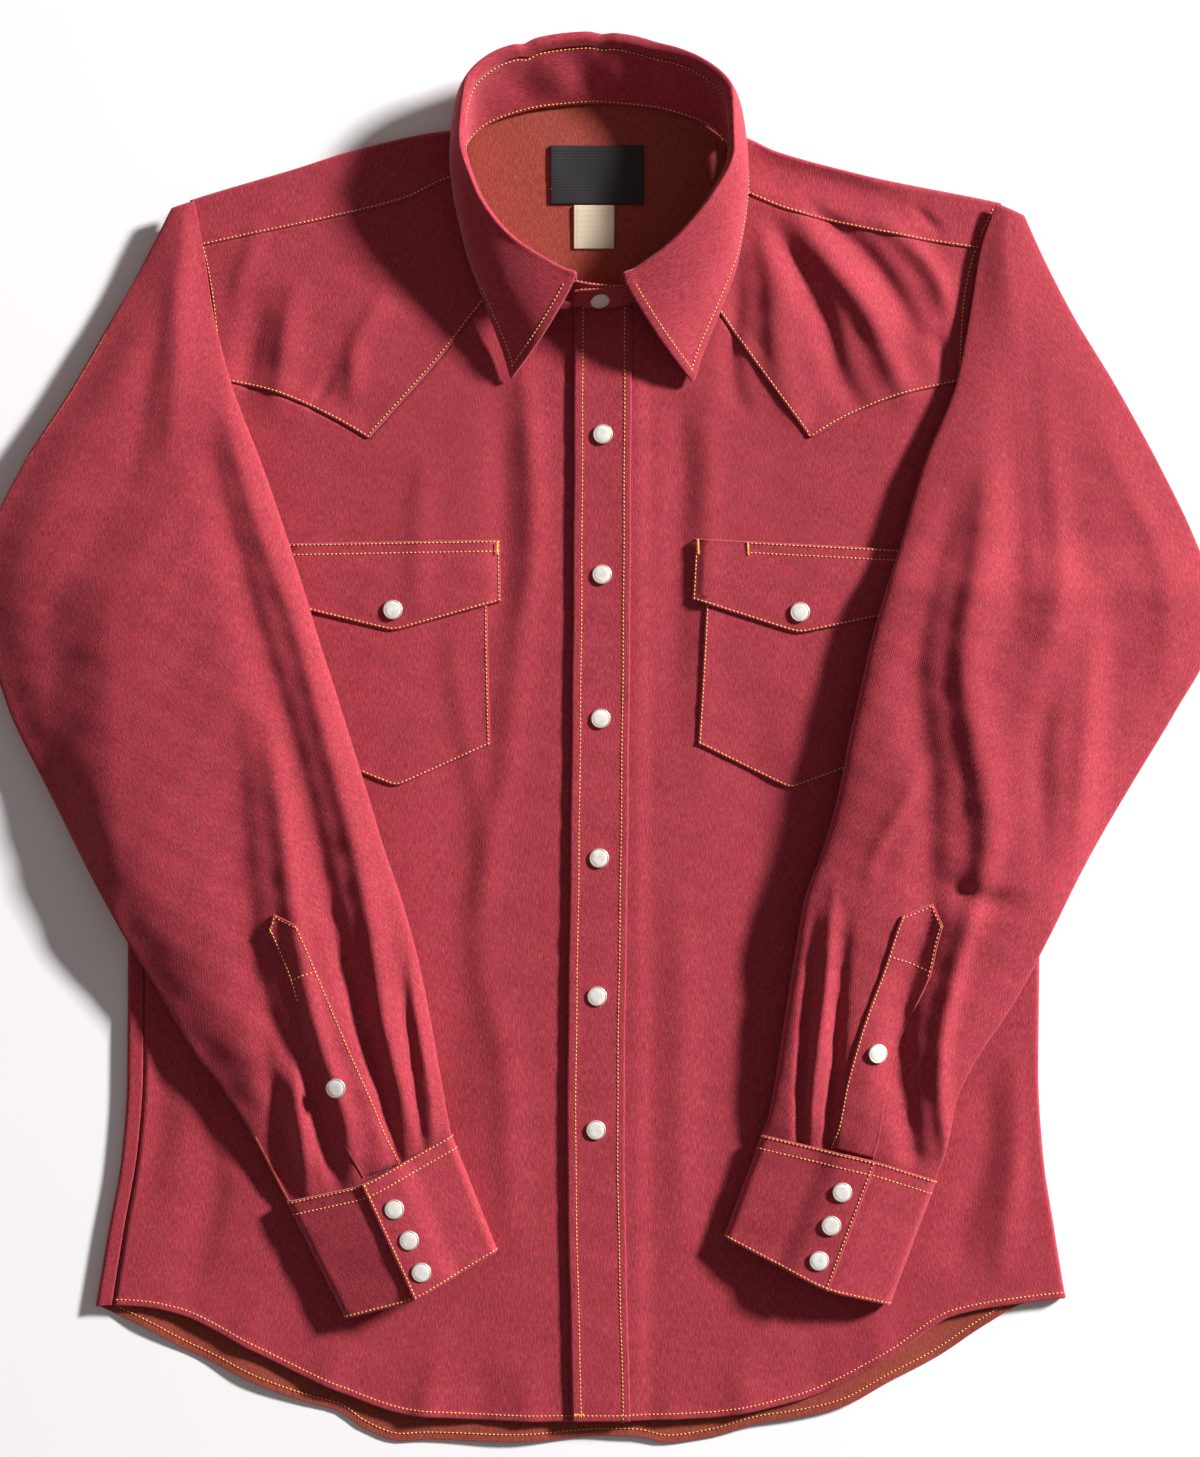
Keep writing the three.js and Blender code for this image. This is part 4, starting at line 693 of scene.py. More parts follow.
def golden_thread():
    """Glossy polyester topstitching thread, twisted, its colour patchy along the seam."""
    material = bpy.data.materials.new("golden_thread")
    material.use_nodes = True
    tree = material.node_tree
    thread = tree.nodes["Principled BSDF"]
    place = node(tree, "ShaderNodeTexCoord")
    patchy = node(tree, "ShaderNodeTexNoise", Vector=place.outputs["Object"], Scale=260.0, Detail=2.0)
    ramp = tree.nodes.new("ShaderNodeValToRGB")
    ramp.color_ramp.elements[0].position = 0.3
    ramp.color_ramp.elements[0].color = (0.78, 0.36, 0.07, 1)
    ramp.color_ramp.elements[1].position = 0.7
    ramp.color_ramp.elements[1].color = (1.0, 0.66, 0.2, 1)
    tree.links.new(patchy.outputs[0], ramp.inputs[0])
    tree.links.new(ramp.outputs[0], thread.inputs["Base Color"])
    twist = node(tree, "ShaderNodeTexWave", {"bands_direction": "DIAGONAL"}, Vector=place.outputs["Object"],
        Scale=900.0, Distortion=1.0)
    bump = node(tree, "ShaderNodeBump", Strength=0.3, Distance=0.0001, Height=twist.outputs[1])
    tree.links.new(bump.outputs[0], thread.inputs["Normal"])
    thread.inputs["Roughness"].default_value = 0.42
    thread.inputs["Sheen Weight"].default_value = 0.1
    return material


GOLDEN_THREAD = golden_thread()


def sew(name, paths, pitch=2.5, length=1.85, width=0.8, height=0.5, lift=0.14, seed=3):
    """Sews the paths, rows of place and way up, as one piece of stitching; sizes are in millimetres."""
    points = np.concatenate([path[:, :3] + path[:, 3:] * lift for path in paths])
    ups = np.concatenate([path[:, 3:] for path in paths])
    edges, start = [], 0
    for path in paths:
        edges += [(start + i, start + i + 1) for i in range(len(path) - 1)]
        start += len(path)
    seam = bpy.data.meshes.new(name + "_seam")
    seam.from_pydata(on_table(points), edges, [])
    way_up = seam.attributes.new("cloth_up", "FLOAT_VECTOR", "POINT")
    way_up.data.foreach_set("vector", ups.astype(np.float32).ravel())
    carrier = bpy.data.objects.new(name + "_seam", seam)
    bpy.context.collection.objects.link(carrier)
    modifier = carrier.modifiers.new("thread", "NODES")
    modifier.node_group = STITCHING
    sizes = {"Pitch": pitch / 1000, "Stitch Length": length / 1000, "Thread Width": width / 1000,
        "Thread Height": height / 1000, "Seed": seed, "Thread": GOLDEN_THREAD}
    for item in STITCHING.interface.items_tree:
        if item.in_out == "INPUT" and item.name in sizes:
            modifier[item.identifier] = sizes[item.name]
    bpy.context.view_layer.update()
    evaluated = carrier.evaluated_get(bpy.context.evaluated_depsgraph_get())
    mesh = bpy.data.meshes.new_from_object(evaluated)
    mesh.name = name
    bpy.data.objects.remove(carrier)
    thread = bpy.data.objects.new(name, mesh)
    bpy.context.collection.objects.link(thread)
    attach(thread, "root")
    return thread


def bartack(x, y, height, run, reach=1.1):
    """A dense bar of crosswise thread at (x, y), as a path to be sewn with a close pitch."""
    run = np.array(run, float)
    steps = max(2, int(np.linalg.norm(run)))
    share = np.linspace(0, 1, steps + 1)[:, None]
    places = np.array([x, y]) + run * share
    z = height(places[:, 0], places[:, 1])
    return np.column_stack([places, z, np.zeros(len(z)), np.zeros(len(z)), np.ones(len(z))])


def laid_line(points, height):
    """A seam on the front: a smooth line through points, at the height that the function gives."""
    points = np.array(points, float)
    run = np.r_[0, np.cumsum(np.linalg.norm(np.diff(points, axis=0), axis=1))]
    at = np.linspace(0, run[-1], max(3, int(run[-1] / 3)))
    x, y = drawn(np.column_stack([run, points]))(at)
    z = height(x, y)
    gx = (height(x + 0.5, y) - height(x - 0.5, y))
    gy = (height(x, y + 0.5) - height(x, y - 0.5))
    up = np.column_stack([-gx, -gy, np.ones(len(x))])
    return np.column_stack([x, y, z, up / np.linalg.norm(up, axis=1, keepdims=True)])


sew("hem_stitching", [
    line_at(front_right, -1, "bottom", 4.2, trim=(17, 2)),
    line_at(front_left, 1, "bottom", 4.2, trim=(18, 0)),
    back_hem_line,
])

# The back yoke: a second layer of twill across the shoulders. Its reverse shows inside the neck, and a
# wing of it folds over each shoulder to a topstitched seam in front.
shoulder_fold = drawn([(-252, 325), (-190, 345), (-150, 358), (-90, 370), (0, 374), (87, 366), (107, 357.5),
    (152, 345), (247, 323)])
shoulder_seam = drawn([(-248, 298.5), (-171, 315), (-122, 327), (-80, 343), (77, 338), (91, 331),
    (116, 321), (195, 303), (243, 296)])
WING_INNER = {"right": -83, "left": 80}


def yoke_plate_grid():
    u, v = np.meshgrid(np.linspace(-1, 1, 150), shares(36, 110))
    edges = body_sides(mix(BACK_YOKE_SIDE, 315, v))
    x = np.where(u < 0, -u * (edges[0] + GAP), u * (edges[1] - GAP))
    upper = np.where(at_neck(x), np.minimum(neckline(x, NECK_BACK) + 4.5, 392),
        shoulder_fold(x) - FOLD_RADIUS)
    y = mix(back_yoke_seam(x) + GAP / 2, upper, v)
    # inside the neck the cloth bellies up a little between the collar's sides
    belly = 0.5 * np.exp(-((x - 30) / 34) ** 2 - ((y - 330) / 40) ** 2) + 0.35 * np.sin(x / 13
        + y / 21) * np.exp(-((x + 2) / 60) ** 2)
    return np.stack([x, y, np.maximum(0, belly) * 0.8], -1)


def seam_columns(side, count):
    sign = 1 if side == "left" else -1
    tip = body_sides(shoulder_seam(sign * 242.0))[1 if side == "left" else 0] - sign * GAP
    return WING_INNER[side], tip, np.linspace(0, 1, count)


def yoke_wing_grid(side):
    sign = 1 if side == "left" else -1
    first, last, shares_across = seam_columns(side, 74)
    u, v = np.meshgrid(shares_across, np.r_[0, 0.1, np.linspace(0.16, 0.5, 14), np.linspace(0.53, 0.86, 12),
        1 - np.array(NEAR_EDGE[::-1]) / 62, 1])
    seam_x = mix(first, last, u)
    seam_tip = shoulder_seam(last)
    fold = shoulder_fold(seam_x)
    seam = shoulder_seam(seam_x) + GAP / 2 - 0.9
    under = 12
    over = fold - FOLD_RADIUS - seam
    distance = v * (under + HALF_ROUND + over)
    angle = np.clip((distance - under) / FOLD_RADIUS, 0, math.pi)
    flat = np.minimum(0, distance - under) - np.maximum(0, distance - under - HALF_ROUND)
    y = fold - FOLD_RADIUS + FOLD_RADIUS * np.sin(angle) + flat
    index = 1 if side == "left" else 0
    x = seam_x + (body_sides(np.maximum(y, seam_tip))[index] - body_sides(seam_tip)[index]) * ease(0.5, 1,
        u)
    top = front_top(x, y) + 0.6 * (1 - ease(4, 14, y - seam))
    z = np.where(distance > under + HALF_ROUND, top, FOLD_RADIUS * (1 - np.cos(angle)))
    return sewn_edges(np.stack([x, y, z], -1), -sign, [("top", 1.8, 0.3)])


plate, wing_right, wing_left = yoke_plate_grid(), yoke_wing_grid("right"), yoke_wing_grid("left")
back_yoke = cloth_shell("back_yoke_cloth", [plate, wing_right, wing_left], [-1, 1, -1],
    [twill_face, twill_reverse])
worn(back_yoke, ["back_yoke"])
sew("shoulder_stitching", [
    line_at(wing_right, 1, "top", 1.8, trim=(0, 3)),
    line_at(wing_left, -1, "top", 1.8, trim=(0, 3)),
    laid_line([(-252, 324), (-241.6, 296.5), (-236.5, 270), (-232.8, 240)], lambda x,
    y: front_top(x, y) + 0.1),
    laid_line([(239.5, 321), (231, 302), (225.7, 285), (221.6, 262), (219.6, 226)], lambda x,
    y: front_top(x, y) + 0.1),
])

# The front yokes: pointed pieces of twill between the shoulder seams and the fronts, turned under along their
# points and topstitched once.
def front_yoke_grid(side):
    sign = 1 if side == "left" else -1
    seam = yoke_left if side == "left" else yoke_right
    inner, outer = (52.0, 225.3) if side == "left" else (-55.5, -236.1)
    first, last, share = seam_columns(side, 104)
    low_x = mix(inner, outer, share)
    knee = (sign * 80 - inner) / (outer - inner)
    high_x = np.where(share < knee, low_x, mix(first, last, (share - knee) / (1 - knee)))
    v = np.r_[0, np.array(NEAR_EDGE) / 110, np.linspace(0.08, 1, 46)]
    u, v = np.meshgrid(share, v)
    low_y = seam(low_x) + GAP / 2 - 0.9
    high_y = shoulder_seam(high_x) - GAP / 2
    high_y = np.where(at_neck(high_x), np.minimum(high_y, neckline(high_x, -NECK_FRONT)), high_y)
    high_y = np.maximum(high_y, low_y + 1.5)
    y = mix(low_y, high_y, v)
    index = 1 if side == "left" else 0
    hollow = body_sides(y)[index] - mix(body_sides(low_y)[index], body_sides(high_y)[index], v)
    x = mix(low_x, high_x, v) + hollow * ease(0.6, 1, u)
    z = front_top(x, y) + 0.75 * (1 - ease(2, 16, y - low_y))
    return sewn_edges(np.stack([x, y, z], -1), sign, [("bottom", 1.9, 0.3)])


yoke_right_grid, yoke_left_grid = front_yoke_grid("right"), front_yoke_grid("left")
worn(cloth_shell("front_yoke_right_cloth", yoke_right_grid, -1, [twill_face, twill_reverse]),
    ["front_yoke_right"])
worn(cloth_shell("front_yoke_left_cloth", yoke_left_grid, 1, [twill_face, twill_reverse]),
    ["front_yoke_left"])
sew("yoke_stitching", [
    line_at(yoke_right_grid, -1, "bottom", 1.9),
    line_at(yoke_left_grid, 1, "bottom", 1.9),
])

# The placket: a folded band with interlining on the lapped edge of the left front, stitched down both its
# sides and tacked at the hem. Six snaps close it.
def placket_grid():
    u, v = np.meshgrid(shares(14, 35, low=True, high=True), shares(210, 682, low=True))
    y = mix(-418, 263.5, v)
    # each snap pinches the band in, and it swells a little between them
    swell = 0.25 * np.sin((y + 74) / 84.5 * 2 * math.pi / 1.0)
    x = placket_middle(y) + (u - 0.5) * (PLACKET_WIDTH + swell)
    z = front_top(x, y) + 2 * LAYER + 0.12 * ripple(x * 2 + 40, y * 1.4)
    return sewn_edges(np.stack([x, y, z], -1), 1,
        [("start", 5.6, 0.22), ("end", 4.8, 0.22), ("bottom", 4.2, 0.2)])


placket = placket_grid()
placket_cloth = cloth_shell("front_placket_cloth", placket, 1, [twill_face, twill_reverse])
worn(placket_cloth, ["front_placket"])
sew("placket_stitching", [
    line_at(placket, 1, "start", 5.6, trim=(4, 3)),
    line_at(placket, 1, "end", 4.8, trim=(0, 3)),
    line_at(placket, 1, "bottom", 4.2, trim=(2, 1)),
])


def placket_top(x, y):
    return front_top(x, y) + 2 * LAYER + 0.35


sew("placket_tacks", [bartack(-15.6, -413.6, placket_top, (5.6, 0))], pitch=0.5, length=0.5, width=1.7,
    height=0.5)

# The pockets: patches of twill with a point at the bottom, topstitched round, each under a pointed flap
# that is stitched down twice at its top. The flaps are plain. One has a pen slot, marked by a second pair
# of tacks.
POCKET_PLACES = {"right": (-127, 118.5, 1), "left": (124, 117,
    -3)}  # middle of the flap's top, and its turn
POCKET_SHAPE = (58, -8, -125, -150)  # half width, top, corners and point
FLAP_SHAPE = (66, 0, -37.5, -55)


def on_pocket(side, x, y):
    px, py, turn = POCKET_PLACES[side]
    c, s = math.cos(math.radians(turn)), math.sin(math.radians(turn))
    return px + x * c - y * s, py + x * s + y * c


def patch_grid(side, shape, layers, edges, sag, puff):
    half, top, corner, point = shape
    u, v = np.meshgrid(shares(40, 2 * half, low=True, high=True),
        shares(34, top - corner, low=True, high=True))
    share = u * 2 - 1
    pointed = 1 - np.sqrt(share ** 2 + 0.0016)
    local_x = share * half * (1 - sag * 0.012 * np.sin(np.pi * v))
    bottom = mix(corner, point, np.clip(pointed, 0, 1))
    local_y = mix(bottom, top, v) - sag * 0.8 * (1 - share ** 2) * v
    x, y = on_pocket(side, local_x, local_y)
    body = np.clip(1 - np.abs(share) ** 3, 0, 1) * np.sin(np.pi * np.clip(v, 0, 1)) ** 0.8
    z = front_top(x, y) + layers * LAYER - 0.4 + puff * body + 0.12 * ripple(x * 1.7 + 11, y * 1.7)
    z = z - (layers - 1) * 1.1 * ease(0.88, 1,
        np.abs(share))  # beside the pocket the flap lies on the front
    return sewn_edges(np.stack([x, y, z], -1), 1, edges)


for side in ("right", "left"):
    pocket = patch_grid(side, POCKET_SHAPE, 1, [("start", 1.8, 0.3), ("end", 1.8, 0.3),
        ("bottom", 1.8, 0.3)], 0.6, 0.5)
    flap = patch_grid(side, FLAP_SHAPE, 2, [("start", 1.8, 0.3), ("end", 1.8, 0.3), ("bottom", 1.8, 0.35),
        ("top", 1.6, 0.3)], 0.0, 0.35)
    pocket_cloth = cloth_shell("pocket_" + side + "_cloth", pocket, 1, [twill_face, twill_reverse])
    flap_cloth = cloth_shell("pocket_flap_" + side + "_cloth", flap, 1, [twill_face, twill_reverse])
    worn(pocket_cloth, ["pocket_" + side])
    worn(flap_cloth, ["pocket_flap_" + side])
    top_line = line_at(flap, 1, "top", 1.6, trim=(1.8, 1.8))
    lower_line = line_at(flap, 1, "top", 7.4, trim=(1.8, 1.8))
    flap_top = lambda x, y: front_top(x, y) + 2 * LAYER + 0.1
    tacks = []
    if side == "right":
        lines = [top_line, lower_line]
        tacks.append(bartack(*on_pocket(side, 64.2, -1.4), flap_top, (0, -7.2)))
    else:
        lines = [trimmed(top_line, 31, 0), trimmed(lower_line, 31, 0)]
        tacks.append(bartack(*on_pocket(side, -64.4, -0.8), lambda x, y: flap_top(x, y) - 0.9, (0.3, -8.4)))
        tacks.append(bartack(*on_pocket(side, -34, -0.8), flap_top, (0.3, -7.4)))
    sew("pocket_stitching_" + side, lines + [
        line_at(flap, 1, "start", 1.8, trim=(1.8, 1.6)), line_at(flap, 1, "end", 1.8, trim=(1.8, 1.6)),
        line_at(flap, 1, "bottom", 1.8, trim=(1.8, 1.8)),
        line_at(pocket, 1, "start", 1.8, trim=(1.8, 20)), line_at(pocket, 1, "end", 1.8, trim=(1.8, 20)),
        line_at(pocket, 1, "bottom", 1.8, trim=(1.8, 1.8)),
    ])
    sew("pocket_tacks_" + side, tacks, pitch=0.5, length=0.5, width=1.8, height=0.5)

# The collar: an interlined stand sewn into the neckline and closed by a snap, and a fall with long points
# that rolls over it, topstitched along its edge.
BAND = 2.0
COLLAR_ROLL = 8
collar_row = drawn([
    # turn round the neck, fold x y z, edge x y z
    (-12, 17, 277, 28, -40, 214, 9), (9, -14, 281, 30, -53.7, 217.5, 8.6),
    (25, -34, 290, 31.5, -60, 235, 9),
    (45, -56, 306, 34, -70, 262, 9.5), (65, -74, 331, 37, -81, 293, 9.5),
    (90, -82.5, 363, 38, -88.5, 334, 9),
    (115, -79.5, 393, 35, -88, 366, 8.8), (140, -57, 415, 30, -68, 391, 3),
    (180, -5, 425, 26, -3, 399, 0.8),
    (220, 53, 412, 30, 64, 390, 3), (245, 77.5, 389, 35, 86, 366, 8.8), (270, 79, 356, 38, 90, 332, 9),
    (295, 67, 328, 37, 85, 292, 9.5), (315, 50, 307, 34, 75, 262, 9.5),
    (335, 30.5, 290, 31.5, 64.5, 236, 9),
    (351, 13.5, 280, 30, 56, 215.5, 8.6), (372, -15, 277, 28, 40, 212, 9)])


def unit(vectors):
    return vectors / np.maximum(np.linalg.norm(vectors, axis=-1, keepdims=True), 1e-9)


def collar_section(turn):
    """Neck seam, fold and free edge of the collar at a turn round the neck, with the ways up and out
    of its stand."""
    fx, fy, fz, ex, ey, ez = collar_row(turn)
    cos, sin = np.cos(np.radians(turn)), np.sin(np.radians(turn))
    depth = np.where(cos > 0, NECK_FRONT, NECK_BACK)
    rest = mix(1.2, BODY_TOP + 2 * LAYER, ease(-0.32, -0.02, cos))
    rest = rest - 1.8 * np.exp(-((cos + 0.06)
        / 0.2) ** 2)  # over the shoulders its seam bites into the yoke
    neck = np.stack([NECK_X - (NECK_HALF + 1.5) * sin, NECK_Y - (depth + 1.5) * cos, rest + GAP + 0.6], -1)
    dents = np.exp(-((turn - 151) / 3.5) ** 2) + 0.8 * np.exp(-((turn - 184)
        / 3.0) ** 2) + 0.5 * np.exp(-((turn - 205) / 6) ** 2)
    fold, edge = np.stack([fx, fy - 1.5 * dents, fz - 1.6 * dents], -1), np.stack([ex, ey, ez], -1)
    rise = unit(fold - neck)
    outward = unit(np.stack([fx - NECK_X, (fy - NECK_Y) * 0.8, fx * 0], -1))
    lean = unit(outward - rise * (outward * rise).sum(-1, keepdims=True))
    return neck, fold, edge, rise, outward, lean


def through(stops, share):
    """A smooth line through stops, each an array of points, at shares of its length (centripetal)."""
    stops = np.stack([2 * stops[0] - stops[1], *stops, 2 * stops[-1] - stops[-2]])
    place = share * (len(stops) - 3)
    i = np.minimum(place.astype(int), len(stops) - 4)
    t = (place - i)[..., None]
    rows, columns = np.indices(share.shape)
    p = [stops[i + k, rows, columns] for k in range(4)]
    gaps = [np.maximum(np.linalg.norm(p[k + 1] - p[k], axis=-1, keepdims=True) ** 0.5, 1e-4)
        for k in range(3)]
    start = ((p[1] - p[0]) / gaps[0] - (p[2] - p[0]) / (gaps[0] + gaps[1])
        + (p[2] - p[1]) / gaps[1]) * gaps[1]
    end = ((p[2] - p[1]) / gaps[1] - (p[3] - p[1]) / (gaps[1] + gaps[2])
        + (p[3] - p[2]) / gaps[2]) * gaps[1]
    return (p[1] * (1 + 2 * t) * (1 - t) ** 2 + start * t * (1 - t) ** 2
            + p[2] * t * t * (3 - 2 * t) + end * t * t * (t - 1))


def stand_grid():
    u, v = np.meshgrid(shares(12, 30, low=True, high=True), np.linspace(0, 1, 200))
    turn = mix(-11, 371, v)
    neck, fold, edge, rise, outward, lean = collar_section(turn)
    top = fold - rise * (COLLAR_ROLL + 0.6 * GAP)
    lift = ease(338, 350, turn) * (BAND + GAP + 0.4)
    crumple = np.sin(turn / 7.3 + 2 * u) * np.sin(turn / 11.9 + 1) * np.exp(-((turn - 185) / 60) ** 2)
    bow = BAND / 2 + lift + np.sin(np.pi * u) * (0.8 + 2.6 * crumple)
    grid = mix(neck, top, u[..., None]) + lean * bow[..., None]
    return sewn_edges(grid, 1, [("end", 2.0, 0.15)])


def fall_grid():
    u, v = np.meshgrid(np.r_[np.linspace(0, 0.24, 8), np.linspace(0.26, 0.5, 18),
        np.linspace(0.53, 0.9, 16), 1 - np.array(NEAR_EDGE[:7][::-1]) / 75, 1],
        shares(170, 440, low=True, high=True))
    turn = mix(9.0, 351.0, v)
    neck, fold, edge, rise, outward, lean = collar_section(turn)

    def near(out, rising):
        return fold + lean * out + rise * rising

    outer = near(5, -2.6)
    bulge = 0.16 * np.linalg.norm(outer - edge, axis=-1, keepdims=True)
    belly = mix(outer, edge, 0.45) + outward * bulge * 0.5
    belly = belly + np.array([0, 0, 1.0]) * bulge * np.where(edge[..., 2:] > 6, 0.25, -0.2)
    stops = [near(-BAND / 2, -COLLAR_ROLL), near(-BAND / 2, -2.6), near(2, 0.4), outer, belly, edge]
    grid = through(stops, u)
    # the roll is not quite even
    grid = grid + lean * (0.35 * np.sin(np.radians(turn) * 9 + 1) * np.exp(-((u - 0.4) / 0.18) ** 2))[...,
        None]
    return sewn_edges(grid, -1, [("end", 5.6, 0.3), ("bottom", 5.6, 0.3), ("top", 5.6, 0.3)])


stand, fall = stand_grid(), fall_grid()
stand_cloth = cloth_shell("collar_stand_cloth", stand, 1, [twill_face, twill_face], thick=1.8)
fall_cloth = cloth_shell("collar_fall_cloth", fall, -1, [twill_face, twill_face], thick=1.8)
worn(stand_cloth, ["collar_stand"])
worn(fall_cloth, ["collar_fall"])


def inside_line(grid, facing, edge, distance, thick, trim=(0, 0)):
    """Stitches on the inner side of a band."""
    path = line_at(grid, facing, edge, distance, trim)
    path[:, :3] -= path[:, 3:] * thick
    path[:, 3:] *= -1
    return path


sew("collar_stitching", [
    line_at(fall, -1, "end", 5.6, trim=(5.6, 5.6)),
    line_at(fall, -1, "bottom", 5.6, trim=(20, 5.6)),
    line_at(fall, -1, "top", 5.6, trim=(20, 5.6)),
    inside_line(stand, 1, "end", 1.6, 1.85, trim=(4, 4)),
    inside_line(stand, 1, "start", 1.6, 1.85, trim=(4, 4)),
])

# The sleeves: tubes of twill, folded at the shoulder and flattened over the front, with pleats into the
# cuffs. Under each upper sleeve its cloth folds back to the armhole.
SLEEVE_ROWS = {
    # place from shoulder to cuff, outer edge x y, inner edge x y, loft
    "right": [
        (0, -261, 321.5, -247, 326, 2.6), (1, -274.5, 295, -241.5, 297, 6),
        (2, -294, 258.5, -235.5, 258.5, 9),
        (3, -321, 211, -224, 214, 12), (4, -351.5, 163, -206, 167, 15), (5, -371, 120, -190, 121, 18),
        (6, -375, 83, -178.5, 85.5, 20), (7, -370, 49.5, -169.5, 55.5, 20), (8, -360, 16, -161.5, 31, 20),
        (9, -336, -33, -151, -2.5, 20), (10, -311, -82, -140, -38, 19), (11, -289, -121.5, -131, -68, 18),
        (12, -268, -156, -121, -97, 18), (13, -250, -186.5, -112, -129, 18),
        (14, -230.5, -213, -104, -167, 17),
        (15, -213.5, -237.5, -97.5, -203.5, 15), (16, -200, -263.5, -93, -229.5, 12),
        (17, -191, -281, -91, -240.5, 9),
        (17.6, -184, -295, -85, -256, 4.4)],
    "left": [
        (0, 258.5, 317, 241.5, 324.5, 2.6), (1, 268.5, 295, 232, 297, 5), (2, 287, 258.5, 225.5, 258.5, 7),
        (3, 315.5, 211, 216.5, 214, 8), (4, 342, 162, 197.5, 167, 10.5), (5, 362, 120, 183, 118, 13.5),
        (6, 375, 83, 172.5, 85.5, 20), (7, 369, 49.5, 164, 55.5, 20), (8, 351, 16, 158.5, 31, 20),
        (9, 321.5, -33, 151, -2.5, 20), (10, 293, -82, 144, -38, 19), (11, 273, -121.5, 135.5, -68, 18),
        (12, 257.5, -152, 124, -100, 18), (13, 244, -174, 119, -129, 18), (14, 227.5, -199, 113, -167, 17),
        (15, 217, -222, 107.5, -203.5, 15), (16, 211.5, -249.5, 102.5, -231, 12),
        (17, 205, -269, 99, -240.5, 9),
        (17.6, 199, -284, 94, -254, 4.4)],
}
sleeve_row = {side: drawn(rows) for side, rows in SLEEVE_ROWS.items()}
